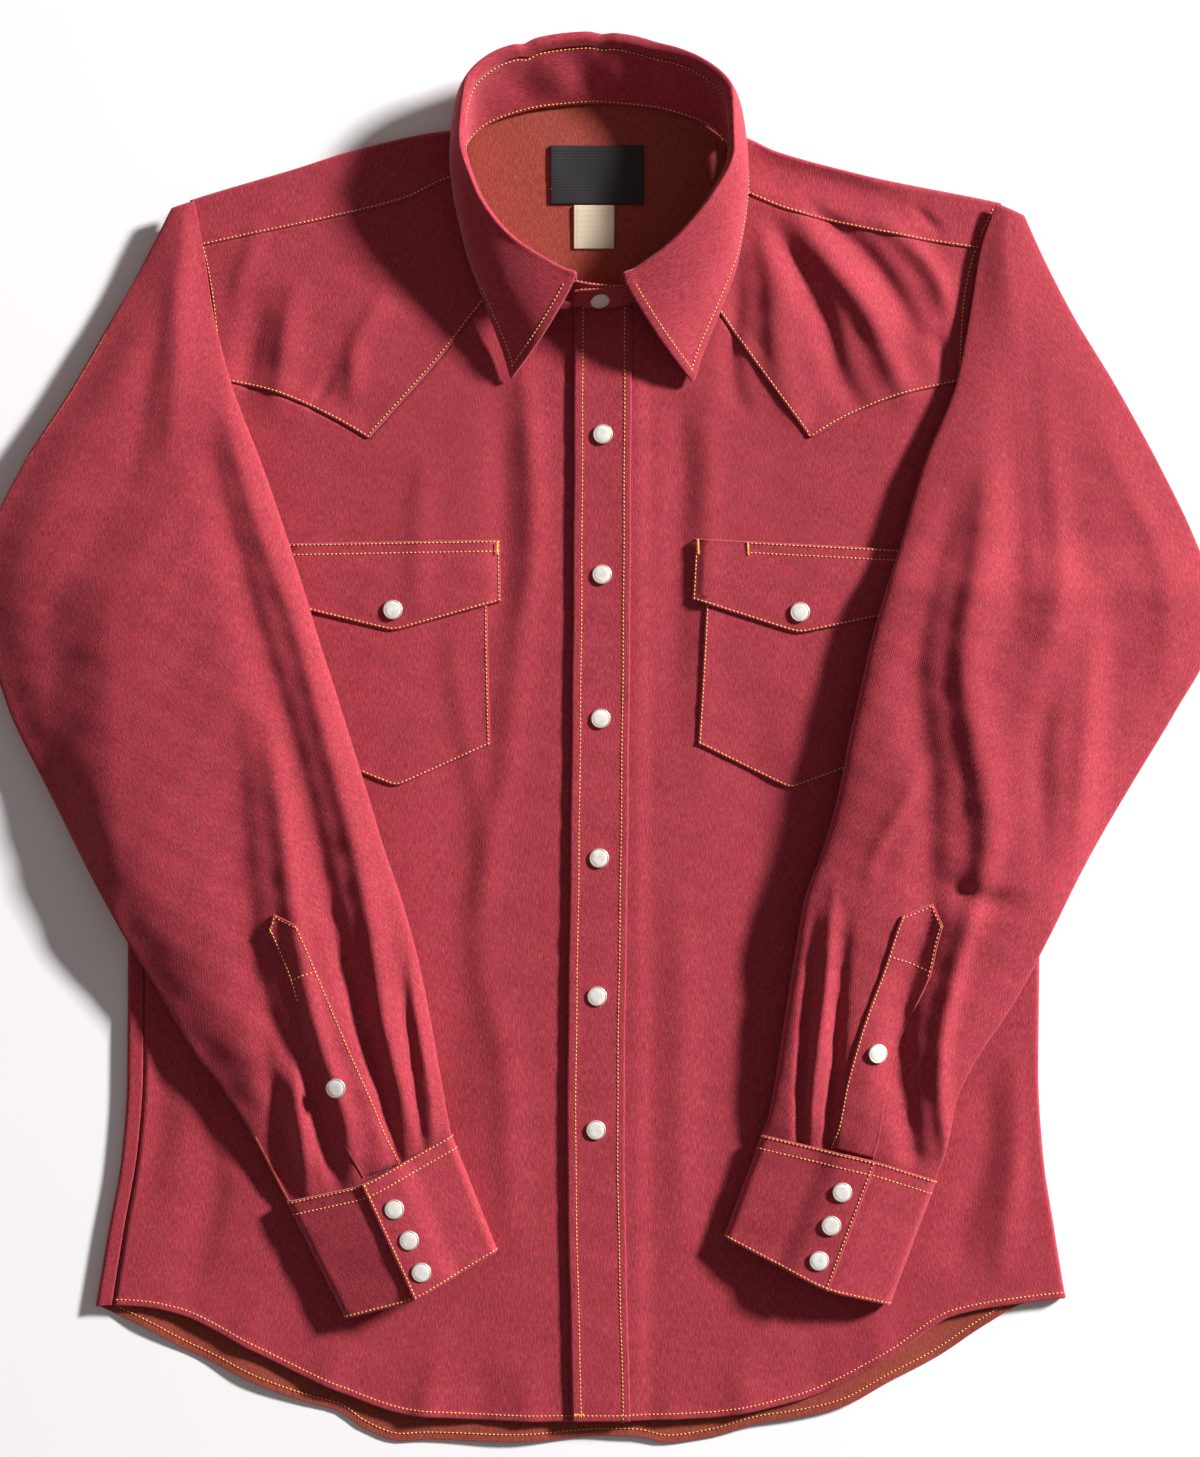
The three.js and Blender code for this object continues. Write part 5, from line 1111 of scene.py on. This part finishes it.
SLEEVE_FOLDS = {
    "right": [
        # the ridge along the inner edge and the long valley beside it
        [(-229, 207, 9, 6, 0), (-218, 167, 9, 6, 2.5), (-203, 119, 10, 7, 3.2), (-184, 70, 10, 7, 3.8),
        (-171, 22, 10, 7, 4.2), (-158, -27, 10, 7, 4.6), (-146, -75, 10, 7, 5), (-137, -124, 9, 6, 5),
        (-131, -172, 7, 5, 4.5), (-124, -202, 6, 4, 3), (-117, -229, 5, 4, 1), (-114, -251, 4, 4, 0)],
        [(-239, 204, 7, 12, 0), (-233, 155, 7, 12, -2), (-222, 119, 7, 12, -2.6), (-209, 70, 7, 13, -3),
        (-194, 22, 7, 14, -3.2), (-180, -27, 7, 11, -3.4), (-169, -75, 7, 10, -4), (-158, -124, 7, 9, -5),
        (-145, -172, 6, 8, -6), (-131, -220, 5, 6, -5.5), (-122, -260, 4, 5, -4)],
        # the ridge under the placket and the hollow on its left
        [(-202, 22, 7, 7, 0), (-197, -15, 7, 7, 2), (-192, -51, 7, 7, 3), (-188, -87, 7, 7, 3.8),
        (-183, -124, 7, 7, 4), (-177, -151, 7, 7, 4), (-170, -184, 7, 6, 3.8), (-157, -220, 6, 6, 3.5),
        (-151, -251, 6, 5, 3), (-147, -275, 5, 5, 2)],
        [(-224, 28, 8, 20, 0), (-219, -21, 8, 20, -2), (-216, -75, 8, 20, -3), (-210, -124, 8, 18, -3.6),
        (-199, -172, 7, 14, -3.6), (-183, -196, 5, 7, -3.2), (-173, -223, 5, 6, -4),
        (-166, -248, 5, 6, -4.6), (-159, -275, 5, 6, -4)],
        # pleats above the cuff
        [(-188, -181, 5, 5, 0), (-184, -202, 5, 5, 2), (-183, -226, 5, 5, 3), (-180, -251, 5, 5, 3),
        (-178, -275, 5, 5, 2.5)],
        [(-205, -178, 6, 9, 0), (-201, -199, 6, 9, -2.5), (-197, -223, 6, 8, -3.6), (-194, -248, 6, 8, -4),
        (-191, -275, 6, 8, -3.5)],
        [(-115, -127, 4, 3, 0), (-113, -154, 4, 3, 1.6), (-109, -178, 4, 3, 2.5), (-105, -202, 4, 3, 2.5),
        (-102, -226, 4, 3, 2), (-101, -251, 4, 3, 1)],
        [(-121, -133, 3, 4, 0), (-118, -166, 3, 4, -2.5), (-114, -196, 3, 4, -4), (-111, -223, 3, 4, -3.2),
        (-107, -254, 3, 3, -2)],
        # the upper arm
        [(-254, 282, 8, 6, 0), (-255, 258, 8, 6, 1.6), (-256, 228, 8, 6, 1.6), (-260, 191, 8, 6, 1.2),
        (-263, 161, 8, 6, 0)],
        [(-266, 294, 6, 10, 0), (-268, 264, 6, 10, -1.5), (-273, 222, 6, 10, -1.5), (-280, 179, 6, 10, -1),
        (-286, 143, 6, 10, 0)],
    ],
    "left": [
        # the long ridge that bends at the elbow and runs on beside the placket
        [(233, 170, 12, 7, 0), (233, 143, 13, 7, 2.5), (230, 116, 14, 8, 4), (224, 82, 14, 8, 4.8),
        (219, 46, 14, 8, 5), (222, 16, 14, 8, 5), (229, -18, 13, 8, 5.2), (234, -51, 12, 8, 5),
        (233, -75, 10, 8, 4.2), (227, -102, 8, 7, 3.6), (218, -130, 6, 7, 4.2), (211, -160, 6, 6, 5),
        (206, -184, 6, 6, 5), (206, -208, 6, 6, 5), (208, -233, 6, 5, 4.2), (213, -260, 5, 5, 3)],
        [(217, 161, 8, 8, 0), (214, 140, 8, 10, -1.5), (206, 113, 8, 14, -2.6), (196, 76, 8, 16, -3.2),
        (191, 43, 8, 16, -3.5), (194, 10, 8, 14, -3.5), (200, -27, 8, 12, -3.5), (199, -57, 8, 12, -3),
        (199, -84, 8, 12, -3), (200, -108, 8, 12, -3.5), (194, -133, 8, 12, -4.5), (185, -160, 8, 12, -5.5),
        (182, -184, 8, 12, -6), (185, -214, 8, 11, -6), (190, -251, 7, 9, -5)],
        # folds down the upper arm
        [(266, 270, 10, 7, 0), (270, 216, 10, 7, 1.4), (273, 173, 10, 7, 2), (277, 131, 10, 7, 2.3),
        (279, 98, 9, 7, 2.2), (273, 67, 9, 7, 1.8), (264, 43, 8, 7, 1), (252, 19, 8, 7, 0)],
        [(247, 228, 8, 10, 0), (249, 179, 8, 10, -1.4), (253, 125, 8, 10, -1.8), (252, 82, 8, 10, -1.6),
        (245, 46, 8, 10, 0)],
        [(299, 82, 10, 7, 0), (297, 46, 10, 7, 1.6), (295, 10, 10, 7, 2.6), (292, -27, 10, 7, 3),
        (291, -57, 9, 7, 2.5), (289, -81, 8, 7, 1), (286, -99, 8, 7, 0)],
        [(279, 58, 8, 9, 0), (273, 22, 8, 9, -1.6), (266, -5, 8, 9, -2.5), (267, -33, 8, 9, -2.6),
        (269, -63, 8, 9, -1.5), (269, -90, 8, 9, 0)],
        [(302, 191, 8, 7, 0), (314, 161, 8, 7, 0.9), (330, 131, 8, 7, 1), (342, 101, 8, 7, 0.9),
        (344, 58, 8, 7, 0.9), (338, 16, 8, 7, 0)],
        # the crease across the elbow
        [(199, -82, 6, 7, 0), (218, -93, 6, 8, -2.6), (235, -100, 6, 9, -4), (247, -100, 6, 7, -1.8),
        (257, -96, 6, 6, 0)],
        # ridges and pleats along the inner edge
        [(195, -18, 5, 5, 0), (189, -33, 5, 5, 1.5), (176, -54, 5, 5, 1.6), (165, -75, 5, 5, 1.3),
        (161, -102, 5, 5, 0)],
        [(143, -81, 4, 3.5, 0), (139, -111, 4, 3.5, 1.6), (137, -148, 4, 3.5, 3), (134, -172, 4, 3.5, 3.2),
        (131, -199, 4, 3.5, 3), (128, -226, 3.5, 3, 2), (128, -251, 3, 3, 1)],
        [(131, -99, 3, 4, 0), (128, -130, 3, 4, -2.4), (126, -160, 3, 4, -4), (123, -196, 3, 4, -4.5),
        (122, -251, 3, 4, -4)],
        [(150, -99, 4, 4, 0), (147, -136, 4, 5, -2.4), (144, -172, 4, 4.5, -4.2), (142, -208, 4, 4, -5),
        (138, -257, 3.5, 3.5, -5)],
    ],
}


def support(x, y):
    """Top of what the sleeves and cuffs lie on: the front with its pockets, then the folded sleeve or
    the table."""
    right, left = body_sides(y)
    beyond = np.maximum(right - x, x - left)
    on_body = front_top(x, y) + 2 * LAYER * ease(-150, -110, y)
    beside = BODY_TOP * ease(40, 150, y)
    return mix(on_body, beside, ease(2, 46, beyond))


def signed_power(value, exponent):
    return np.sign(value) * np.abs(value) ** exponent


def sleeve_point(side, at, turn):
    out_x, out_y, in_x, in_y, loft = sleeve_row[side](at)
    angle = turn * 2 * math.pi
    across = 0.5 - 0.5 * signed_power(np.cos(angle), 0.85)
    rise = np.sin(angle)
    height = 0.5 + 0.5 * signed_power(rise, np.where(rise > 0, 0.65, 0.45))
    x, y = mix(out_x, in_x, across), mix(out_y, in_y, across)
    top = np.sqrt(np.clip(rise, 0, 1))
    width = np.hypot(in_x - out_x, in_y - out_y)
    crease = (folds(SLEEVE_FOLDS[side], x, y) + 0.45 * ripple(x + 90, y + 30)) * top
    crease = crease - (5.5 if side == "right"
        else 3) * np.exp(-(across * width / 17) ** 2) * top  # the outer edge rolls down
    # along the armhole the top is sewn down to the body
    sewn_down = mix(ease(0, 0.45, 1 - across), 1, ease(1.4, 3.8, at))
    loft = mix(2.4, loft, sewn_down)
    z = support(x, y) + GAP + loft * height + crease * ease(3, 14, loft)
    return np.stack([x, y, z], -1)


def sleeve_turn(across):
    """The turn at which the sleeve's top reaches a share of its width."""
    return np.arccos(signed_power(1 - 2 * across, 1 / 0.85)) / (2 * math.pi)


SLEEVE_END = 17.6
for side in ("right", "left"):
    sign = 1 if side == "left" else -1
    turns = np.r_[np.linspace(0, 0.5, 121)[:-1], np.linspace(0.5, 1, 41)[:-1]]
    u, v = np.meshgrid(turns, np.linspace(0, SLEEVE_END, 190))
    grid = sleeve_point(side, v, u)
    sleeve_cloth = cloth_shell("sleeve_" + side + "_cloth", grid, sign, [twill_face, twill_reverse],
        ring=True)
    worn(sleeve_cloth, ["sleeve_" + side])

for side in ("right", "left"):
    sign = 1 if side == "left" else -1
    index = 1 if side == "left" else 0
    crease_x = drawn([(-row[2], row[1]) for row in SLEEVE_ROWS[side][:7]])
    rows = np.linspace(312, 86, 60)
    share = np.r_[np.zeros(1), np.linspace(0, 1, 30), np.ones(6), np.linspace(1, 0, 24)[1:], np.zeros(1)]
    grid = []
    for y in rows:
        outer = crease_x(-y) - sign * 2
        inner = body_sides(y)[index] + sign * 2.5 * GAP
        x = mix(inner, outer, np.linspace(0, 1, 30))
        top = np.minimum(support(x, np.full(30, y)), BODY_TOP) - 0.9
        edge_z = np.linspace(1, 0, 9)[1:-1]
        # the layers show as grooves along the outer edge
        edge_x = outer - sign * 1.1 * (0.5 + 0.5 * np.cos(edge_z * 2 * math.pi * 2))
        ring_points = [(a, y, b) for a, b in zip(x, top)] + [(a, y, b * top[-1]) for a,
            b in zip(edge_x, edge_z)]
        ring_points += [(a, y, 0.0) for a in x[::-1]]
        grid.append(ring_points)
    grid = np.array(grid)
    middle_first, middle_last = grid[0].mean(0), grid[-1].mean(0)
    layers = np.stack([middle_first + (grid[0] - middle_first) * 0.02, *grid,
        middle_last + (grid[-1] - middle_last) * 0.02])
    points = layers.reshape(-1, 3)
    width = layers.shape[1]
    quads = []
    for row in range(len(layers) - 1):
        a = row * width + np.arange(width)
        b = row * width + (np.arange(width) + 1) % width
        quads.append(np.stack([a, b, b + width, a + width], 1))
    quads = np.concatenate(quads)
    caps = [list(range(width)), list(range((len(layers) - 1) * width, len(layers) * width))[::-1]]
    mesh = bpy.data.meshes.new("sleeve_fold_" + side + "_cloth")
    mesh.from_pydata(on_table(points), [], quads.tolist() + caps)
    uv = mesh.uv_layers.new(name="cloth")
    loops = np.zeros(len(mesh.loops), np.int32)
    mesh.loops.foreach_get("vertex_index", loops)
    uv.data.foreach_set("uv", (points[loops][:, [0, 1]] / 1000).astype(np.float32).ravel())
    mesh.materials.append(twill_face)
    mesh.polygons.foreach_set("use_smooth", np.ones(len(mesh.polygons), bool))
    fold_cloth = bpy.data.objects.new("sleeve_fold_" + side + "_cloth", mesh)
    bpy.context.collection.objects.link(fold_cloth)
    import bmesh
    shell = bmesh.new()
    shell.from_mesh(mesh)
    bmesh.ops.recalc_face_normals(shell, faces=shell.faces)
    shell.to_mesh(mesh)
    shell.free()
    worn(fold_cloth, ["sleeve_fold_" + side])

# The sleeve plackets: folded bands with a pointed, boxed top, stitched round and closed by one snap each.
SLEEVE_PLACKETS = {
    "right": (11.45, 0.535, [(11.8, 0.49, 0.6), (12.63, 0.485, 0.6), (14, 0.43, 0.61), (15.2, 0.41, 0.64),
    (16.9, 0.436, 0.67), (17.25, 0.44, 0.676)]),
    "left": (11.2, 0.50, [(11.6, 0.425, 0.6), (12.6, 0.39, 0.595), (14, 0.4, 0.61), (15.2, 0.39, 0.62),
    (16.9, 0.37, 0.62)]),
}


def sleeve_placket_grid(side):
    tip, tip_across, rows = SLEEVE_PLACKETS[side]
    width = drawn(rows)
    u, v = np.meshgrid(shares(14, 28, low=True, high=True), shares(80, 150, low=True))
    at = mix(rows[0][0], rows[-1][0], v)
    start, end = width(at)
    across = mix(start, end, u)
    peak = 1 - np.abs(across - tip_across) / np.maximum(tip_across - start, end - tip_across)
    lifted = at - (rows[0][0] - tip) * np.clip(peak, 0, 1) * (1 - v) ** 14
    point = sleeve_point(side, lifted, sleeve_turn(across))
    # below the box its unstitched edge lies close to the sleeve
    point[..., 2] += mix(LAYER + 0.1, mix(0.35, LAYER + 0.1, ease(0, 0.5, u)), ease(0.2, 0.35, v))
    sign = 1 if side == "left" else -1
    return sewn_edges(point, sign, [("bottom", 1.8, 0.25), ("start", 1.8, 0.25), ("end", 1.8, 0.25)])


for side in ("right", "left"):
    facing = 1 if side == "left" else -1
    band = sleeve_placket_grid(side)
    band_cloth = cloth_shell("sleeve_placket_" + side + "_cloth", band, facing, [twill_face, twill_reverse])
    worn(band_cloth, ["sleeve_placket_" + side])
    row = int(np.argmin(np.abs(shares(80, 150, low=True) - 0.165)))
    cross = np.concatenate([band[row], cloth_normals(band, facing)[row]], 1)
    sew("sleeve_placket_stitching_" + side, [
        line_at(band, facing, "bottom", 1.8, trim=(1.8, 1.8)),
        line_at(band, facing, "end", 1.8, trim=(1.8, 0)),
        trimmed(line_at(band, facing, "start", 1.8, trim=(1.8, 0)), 0, 118),
        trimmed(cross, 1.8, 1.8),
    ])

# The cuffs: interlined bands, folded flat and lapped, topstitched round, with three snaps down each lap.
CUFF_HEIGHT = 8.8
CUFF_ROOF = 6.5  # how much higher the lap lies than the two folded edges
CUFFS = {
    # seam and hem corners on the covered side and on the side that the lap starts from, then the lap's edges
    # and how far the band bends towards the hem at the lap, at the seam and at the hem
    "right": ((-191, -283.2), (-90.3, -242.3), (-155, -354.5), (-62.2, -313.5), 0.43, 0.6, 7.5, 6.5),
    "left": ((205, -270.3), (98.8, -242.3), (176.5, -346.5), (75.3, -305), 0.36, 0.53, -2.5, 6.0),
}


def cuff_grid(side):
    under_seam, over_seam, under_hem, over_hem, lap_edge, lap_under, bend_seam, bend_hem = (np.array(part,
        float) for part in CUFFS[side])
    u, v = np.meshgrid(np.r_[np.linspace(0, 0.985, 150), 1 - np.array(NEAR_EDGE[:5][::-1]) / 260, 1],
        shares(26, 76, low=True, high=True))
    under = under_seam + (under_hem - under_seam) * v[..., None]
    over = over_seam + (over_hem - over_seam) * v[..., None]
    width = np.linalg.norm(over - under, axis=-1)
    radius = CUFF_HEIGHT / 2
    margin = radius / width
    lengths = [lap_under * width - radius, np.pi * radius + 0 * width, width - 2 * radius,
        np.pi * radius + 0 * width, (1 - lap_edge) * width - radius]
    run = u * sum(lengths)
    across, height = np.zeros(u.shape), np.zeros(u.shape)
    begin = 0
    for piece, length in enumerate(lengths):
        t = np.clip((run - begin) / length, 0, 1)
        places = [
            (mix(lap_under, margin, t), CUFF_HEIGHT + 0 * t),
            (margin - margin * np.sin(np.pi * t), radius * (1 + np.cos(np.pi * t))),
            (mix(margin, 1 - margin, t), 0 * t),
            (1 - margin + margin * np.sin(np.pi * t), radius * (1 - np.cos(np.pi * t))),
            (mix(1 - margin, lap_edge, t), CUFF_HEIGHT + (BAND + GAP) * ease(lap_under + 0.16,
            lap_under + 0.02, mix(1 - margin, lap_edge, t))),
        ]
        here = (run >= begin) if piece else np.ones(u.shape, bool)
        across, height = np.where(here, places[piece][0], across), np.where(here, places[piece][1], height)
        begin = begin + length
    tent = np.minimum(across / lap_edge, (1 - across) / (1 - lap_edge))
    down = (under_hem + over_hem - under_seam - over_seam) / np.linalg.norm(under_hem + over_hem
        - under_seam - over_seam)
    bend = mix(bend_seam, bend_hem, v) * (tent - 0.08 * np.exp(-((tent - 1) / 0.08) ** 2))
    x = mix(under[..., 0], over[..., 0], across) + down[0] * bend
    y = mix(under[..., 1], over[..., 1], across) + down[1] * bend
    z = support(x, y) + GAP + height + (0.15 * ripple(x * 1.8, y * 1.8 + 50)
        + CUFF_ROOF * (tent - 0.1 * np.exp(-((tent - 1) / 0.1) ** 2))) * (height > radius)
    facing = -1 if side == "left" else 1
    return sewn_edges(np.stack([x, y, z], -1), facing,
        [("bottom", 2.2, 0.25), ("top", 2.2, 0.25), ("end", 2.2, 0.25)])


for side in ("right", "left"):
    facing = -1 if side == "left" else 1
    cuff = cuff_grid(side)
    cuff_cloth = cloth_shell("cuff_" + side + "_cloth", cuff, facing, [twill_face, twill_face], thick=1.8)
    worn(cuff_cloth, ["cuff_" + side])
    sew("cuff_stitching_" + side, [
        line_at(cuff, facing, "bottom", 1.6, trim=(0, 2.2)),
        line_at(cuff, facing, "bottom", 9.0, trim=(0, 2.2)),
        line_at(cuff, facing, "top", 2.2, trim=(0, 2.2)),
        line_at(cuff, facing, "end", 2.2, trim=(2.2, 2.2)),
    ])

# The snaps: pearl caps in thin metal rims, pressed through the cloth.
pearl = bpy.data.materials.new("pearl_cap")
pearl.use_nodes = True
pearl_tree = pearl.node_tree
pearl_cap = pearl_tree.nodes["Principled BSDF"]
pearl_place = node(pearl_tree, "ShaderNodeTexCoord")
pearl_cloud = node(pearl_tree, "ShaderNodeTexNoise", Vector=pearl_place.outputs["Object"], Scale=160.0,
    Detail=3.0, Distortion=1.2)
pearl_ramp = pearl_tree.nodes.new("ShaderNodeValToRGB")
pearl_ramp.color_ramp.elements[0].position = 0.3
pearl_ramp.color_ramp.elements[0].color = (0.66, 0.62, 0.56, 1)
pearl_ramp.color_ramp.elements[1].position = 0.7
pearl_ramp.color_ramp.elements[1].color = (0.86, 0.84, 0.80, 1)
pearl_tree.links.new(pearl_cloud.outputs[0], pearl_ramp.inputs[0])
pearl_tree.links.new(pearl_ramp.outputs[0], pearl_cap.inputs["Base Color"])
pearl_cap.inputs["Roughness"].default_value = 0.32
pearl_cap.inputs["Coat Weight"].default_value = 0.35
rim_metal = bpy.data.materials.new("snap_rim")
rim_metal.use_nodes = True
rim = rim_metal.node_tree.nodes["Principled BSDF"]
rim.inputs["Base Color"].default_value = (0.78, 0.72, 0.6, 1)
rim.inputs["Metallic"].default_value = 0.7
rim.inputs["Roughness"].default_value = 0.38
SNAP_PROFILE = [(0, -0.4), (5.2, -0.4), (5.95, 0.0), (6.0, 0.5), (5.85, 0.95), (5.5, 1.12), (5.22, 1.1),
    (5.08, 0.98), (4.95, 1.02), (4.5, 1.18), (3.5, 1.28), (2.2, 1.33), (1.1, 1.35), (0, 1.36)]
RIM_RINGS = 7  # profile steps up to the cap


def snap(name, place, up):
    """One snap on the cloth at place, its cap turned to up."""
    up = Vector(up).normalized()
    turn = Vector((0, 0, 1)).rotation_difference(up)
    sides = 40
    points, faces, slots = [], [], []
    for radius, height in SNAP_PROFILE:
        for i in range(sides):
            angle = 2 * math.pi * i / sides
            points.append(Vector(place) + turn @ Vector((radius * math.cos(angle), radius * math.sin(angle),
                height)))
    for row in range(len(SNAP_PROFILE) - 1):
        for i in range(sides):
            a, b = row * sides + i, row * sides + (i + 1) % sides
            faces.append((a, b, b + sides, a + sides))
            slots.append(1 if row < RIM_RINGS else 0)
    mesh = bpy.data.meshes.new(name)
    mesh.from_pydata(on_table([tuple(p) for p in points]), [], faces)
    mesh.materials.append(pearl)
    mesh.materials.append(rim_metal)
    mesh.polygons.foreach_set("material_index", np.array(slots, np.int32))
    import bmesh
    shell = bmesh.new()
    shell.from_mesh(mesh)
    bmesh.ops.remove_doubles(shell, verts=shell.verts, dist=1e-6)
    bmesh.ops.recalc_face_normals(shell, faces=shell.faces)
    shell.to_mesh(mesh)
    shell.free()
    mesh.polygons.foreach_set("use_smooth", np.ones(len(mesh.polygons), bool))
    cap = bpy.data.objects.new(name, mesh)
    bpy.context.collection.objects.link(cap)
    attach(cap, "root")
    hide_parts(name.replace("_cap", ""))


for index, y in enumerate([184, 98.5, 10.7, -74.4, -158.6, -240]):
    x = float(placket_middle(np.array(float(y))))
    snap(f"snap_front_{index + 1}_cap", (x, y,
        float(front_top(np.array(x), np.array(float(y)))) + 2 * LAYER + 0.25), (0, 0, 1))
for side in ("right", "left"):
    x, y = on_pocket(side, 0, -41.5)
    snap(f"snap_pocket_{side}_cap", (x, y, float(front_top(np.array(x), np.array(y))) + 2 * LAYER + 0.3),
        (0, 0, 1))
    at, across = {"right": (14.72, 0.49), "left": (14.3, 0.495)}[side]
    turn = sleeve_turn(np.array(across))
    point = sleeve_point(side, np.array(at), turn)
    along = sleeve_point(side, np.array(at + 0.3), turn) - sleeve_point(side, np.array(at - 0.3), turn)
    over = sleeve_point(side, np.array(at), turn + 0.03) - sleeve_point(side, np.array(at), turn - 0.03)
    up = unit(np.cross(along, over))
    up = up * np.sign(up[2])
    snap(f"snap_sleeve_{side}_cap", point + np.array([0, 0, LAYER]) + up * 0.3, up)
    for index, (sx, sy) in enumerate({"right": [(-124.6, -286.6), (-115.6, -305.4), (-108.2, -324.8)],
            "left": [(146.7, -276.3), (140, -296.5), (132.7, -317.8)]}[side]):
        top = float(support(np.array(sx), np.array(sy))) + GAP + CUFF_HEIGHT + BAND + GAP + 0.8 * CUFF_ROOF
        snap(f"snap_cuff_{side}_{index + 1}_cap", (sx, sy, top + 0.2), (0, 0, 1))
neck, fold, edge, rise, outward, lean = (part[0] for part in collar_section(np.array([360.0])))
snap("snap_collar_cap", mix(neck, fold, 0.3) + lean * (BAND / 2 + BAND + 2 * GAP + 0.6), lean)

# The labels: a black woven label sewn on inside the back yoke, and a cream tab below it. A ribbon for a plain
# border is made but not put on.
def woven(name, ground, thread, scale):
    """A plain woven ribbon: fine ribs of thread on the ground colour."""
    material = bpy.data.materials.new(name)
    material.use_nodes = True
    tree = material.node_tree
    ribbon = tree.nodes["Principled BSDF"]
    lie = node(tree, "ShaderNodeUVMap", {"uv_map": "cloth"})
    ribs = node(tree, "ShaderNodeTexWave", {"bands_direction": "Y"}, Vector=lie.outputs[0], Scale=scale,
        Distortion=0.6, Detail=2.0, Detail_Scale=3.0)
    grain = node(tree, "ShaderNodeTexNoise", Vector=lie.outputs[0], Scale=900.0, Detail=2.0)
    share = maths(tree, "MULTIPLY", ribs.outputs[1],
        maths(tree, "MULTIPLY_ADD", grain.outputs[0], 0.9, 0.1))
    colour = node(tree, "ShaderNodeMix", {"data_type": "RGBA"}, _0=share, _6=(*ground, 1), _7=(*thread, 1))
    tree.links.new(colour.outputs[2], ribbon.inputs["Base Color"])
    bump = node(tree, "ShaderNodeBump", Strength=0.4, Distance=0.0002, Height=ribs.outputs[1])
    tree.links.new(bump.outputs[0], ribbon.inputs["Normal"])
    ribbon.inputs["Roughness"].default_value = 0.6
    ribbon.inputs["Specular IOR Level"].default_value = 0.35
    return material


label_black = woven("label_black", (0.012, 0.012, 0.014), (0.045, 0.043, 0.042), 330)
label_border = woven("label_border", (0.16, 0.15, 0.14), (0.3, 0.28, 0.26), 330)
tab_cream = woven("tab_cream", (0.62, 0.55, 0.38), (0.78, 0.72, 0.55), 420)


def label_grid(x, y, width, height, curl):
    u, v = np.meshgrid(shares(24, width, low=True, high=True), shares(16, height, low=True, high=True))
    px, py = x + (u - 0.5) * width, y + (v - 0.5) * height
    z = 1.5 + 0.8 + curl * (u - 0.45) ** 2 + 0.25 * np.sin(px / 6 + 1) * np.sin(py / 9)
    grid = np.stack([px + 0 * z, py + 0 * z, z], -1)
    return sewn_edges(grid, 1, [("start", 1.2, 0.1), ("end", 1.2, 0.1), ("top", 1.2, 0.1),
        ("bottom", 1.2, 0.1)])


label_cloth = cloth_shell("neck_label_cloth", label_grid(-1.8, 343, 57, 36, 2.0), 1,
    [label_black, label_black], thick=0.6)
tab_cloth = cloth_shell("size_tab_cloth", label_grid(-3.7, 311, 25, 27, 1.0), 1, [tab_cream, tab_cream],
    thick=0.6)
worn(label_cloth, ["neck_label"])
worn(tab_cloth, ["size_tab"])
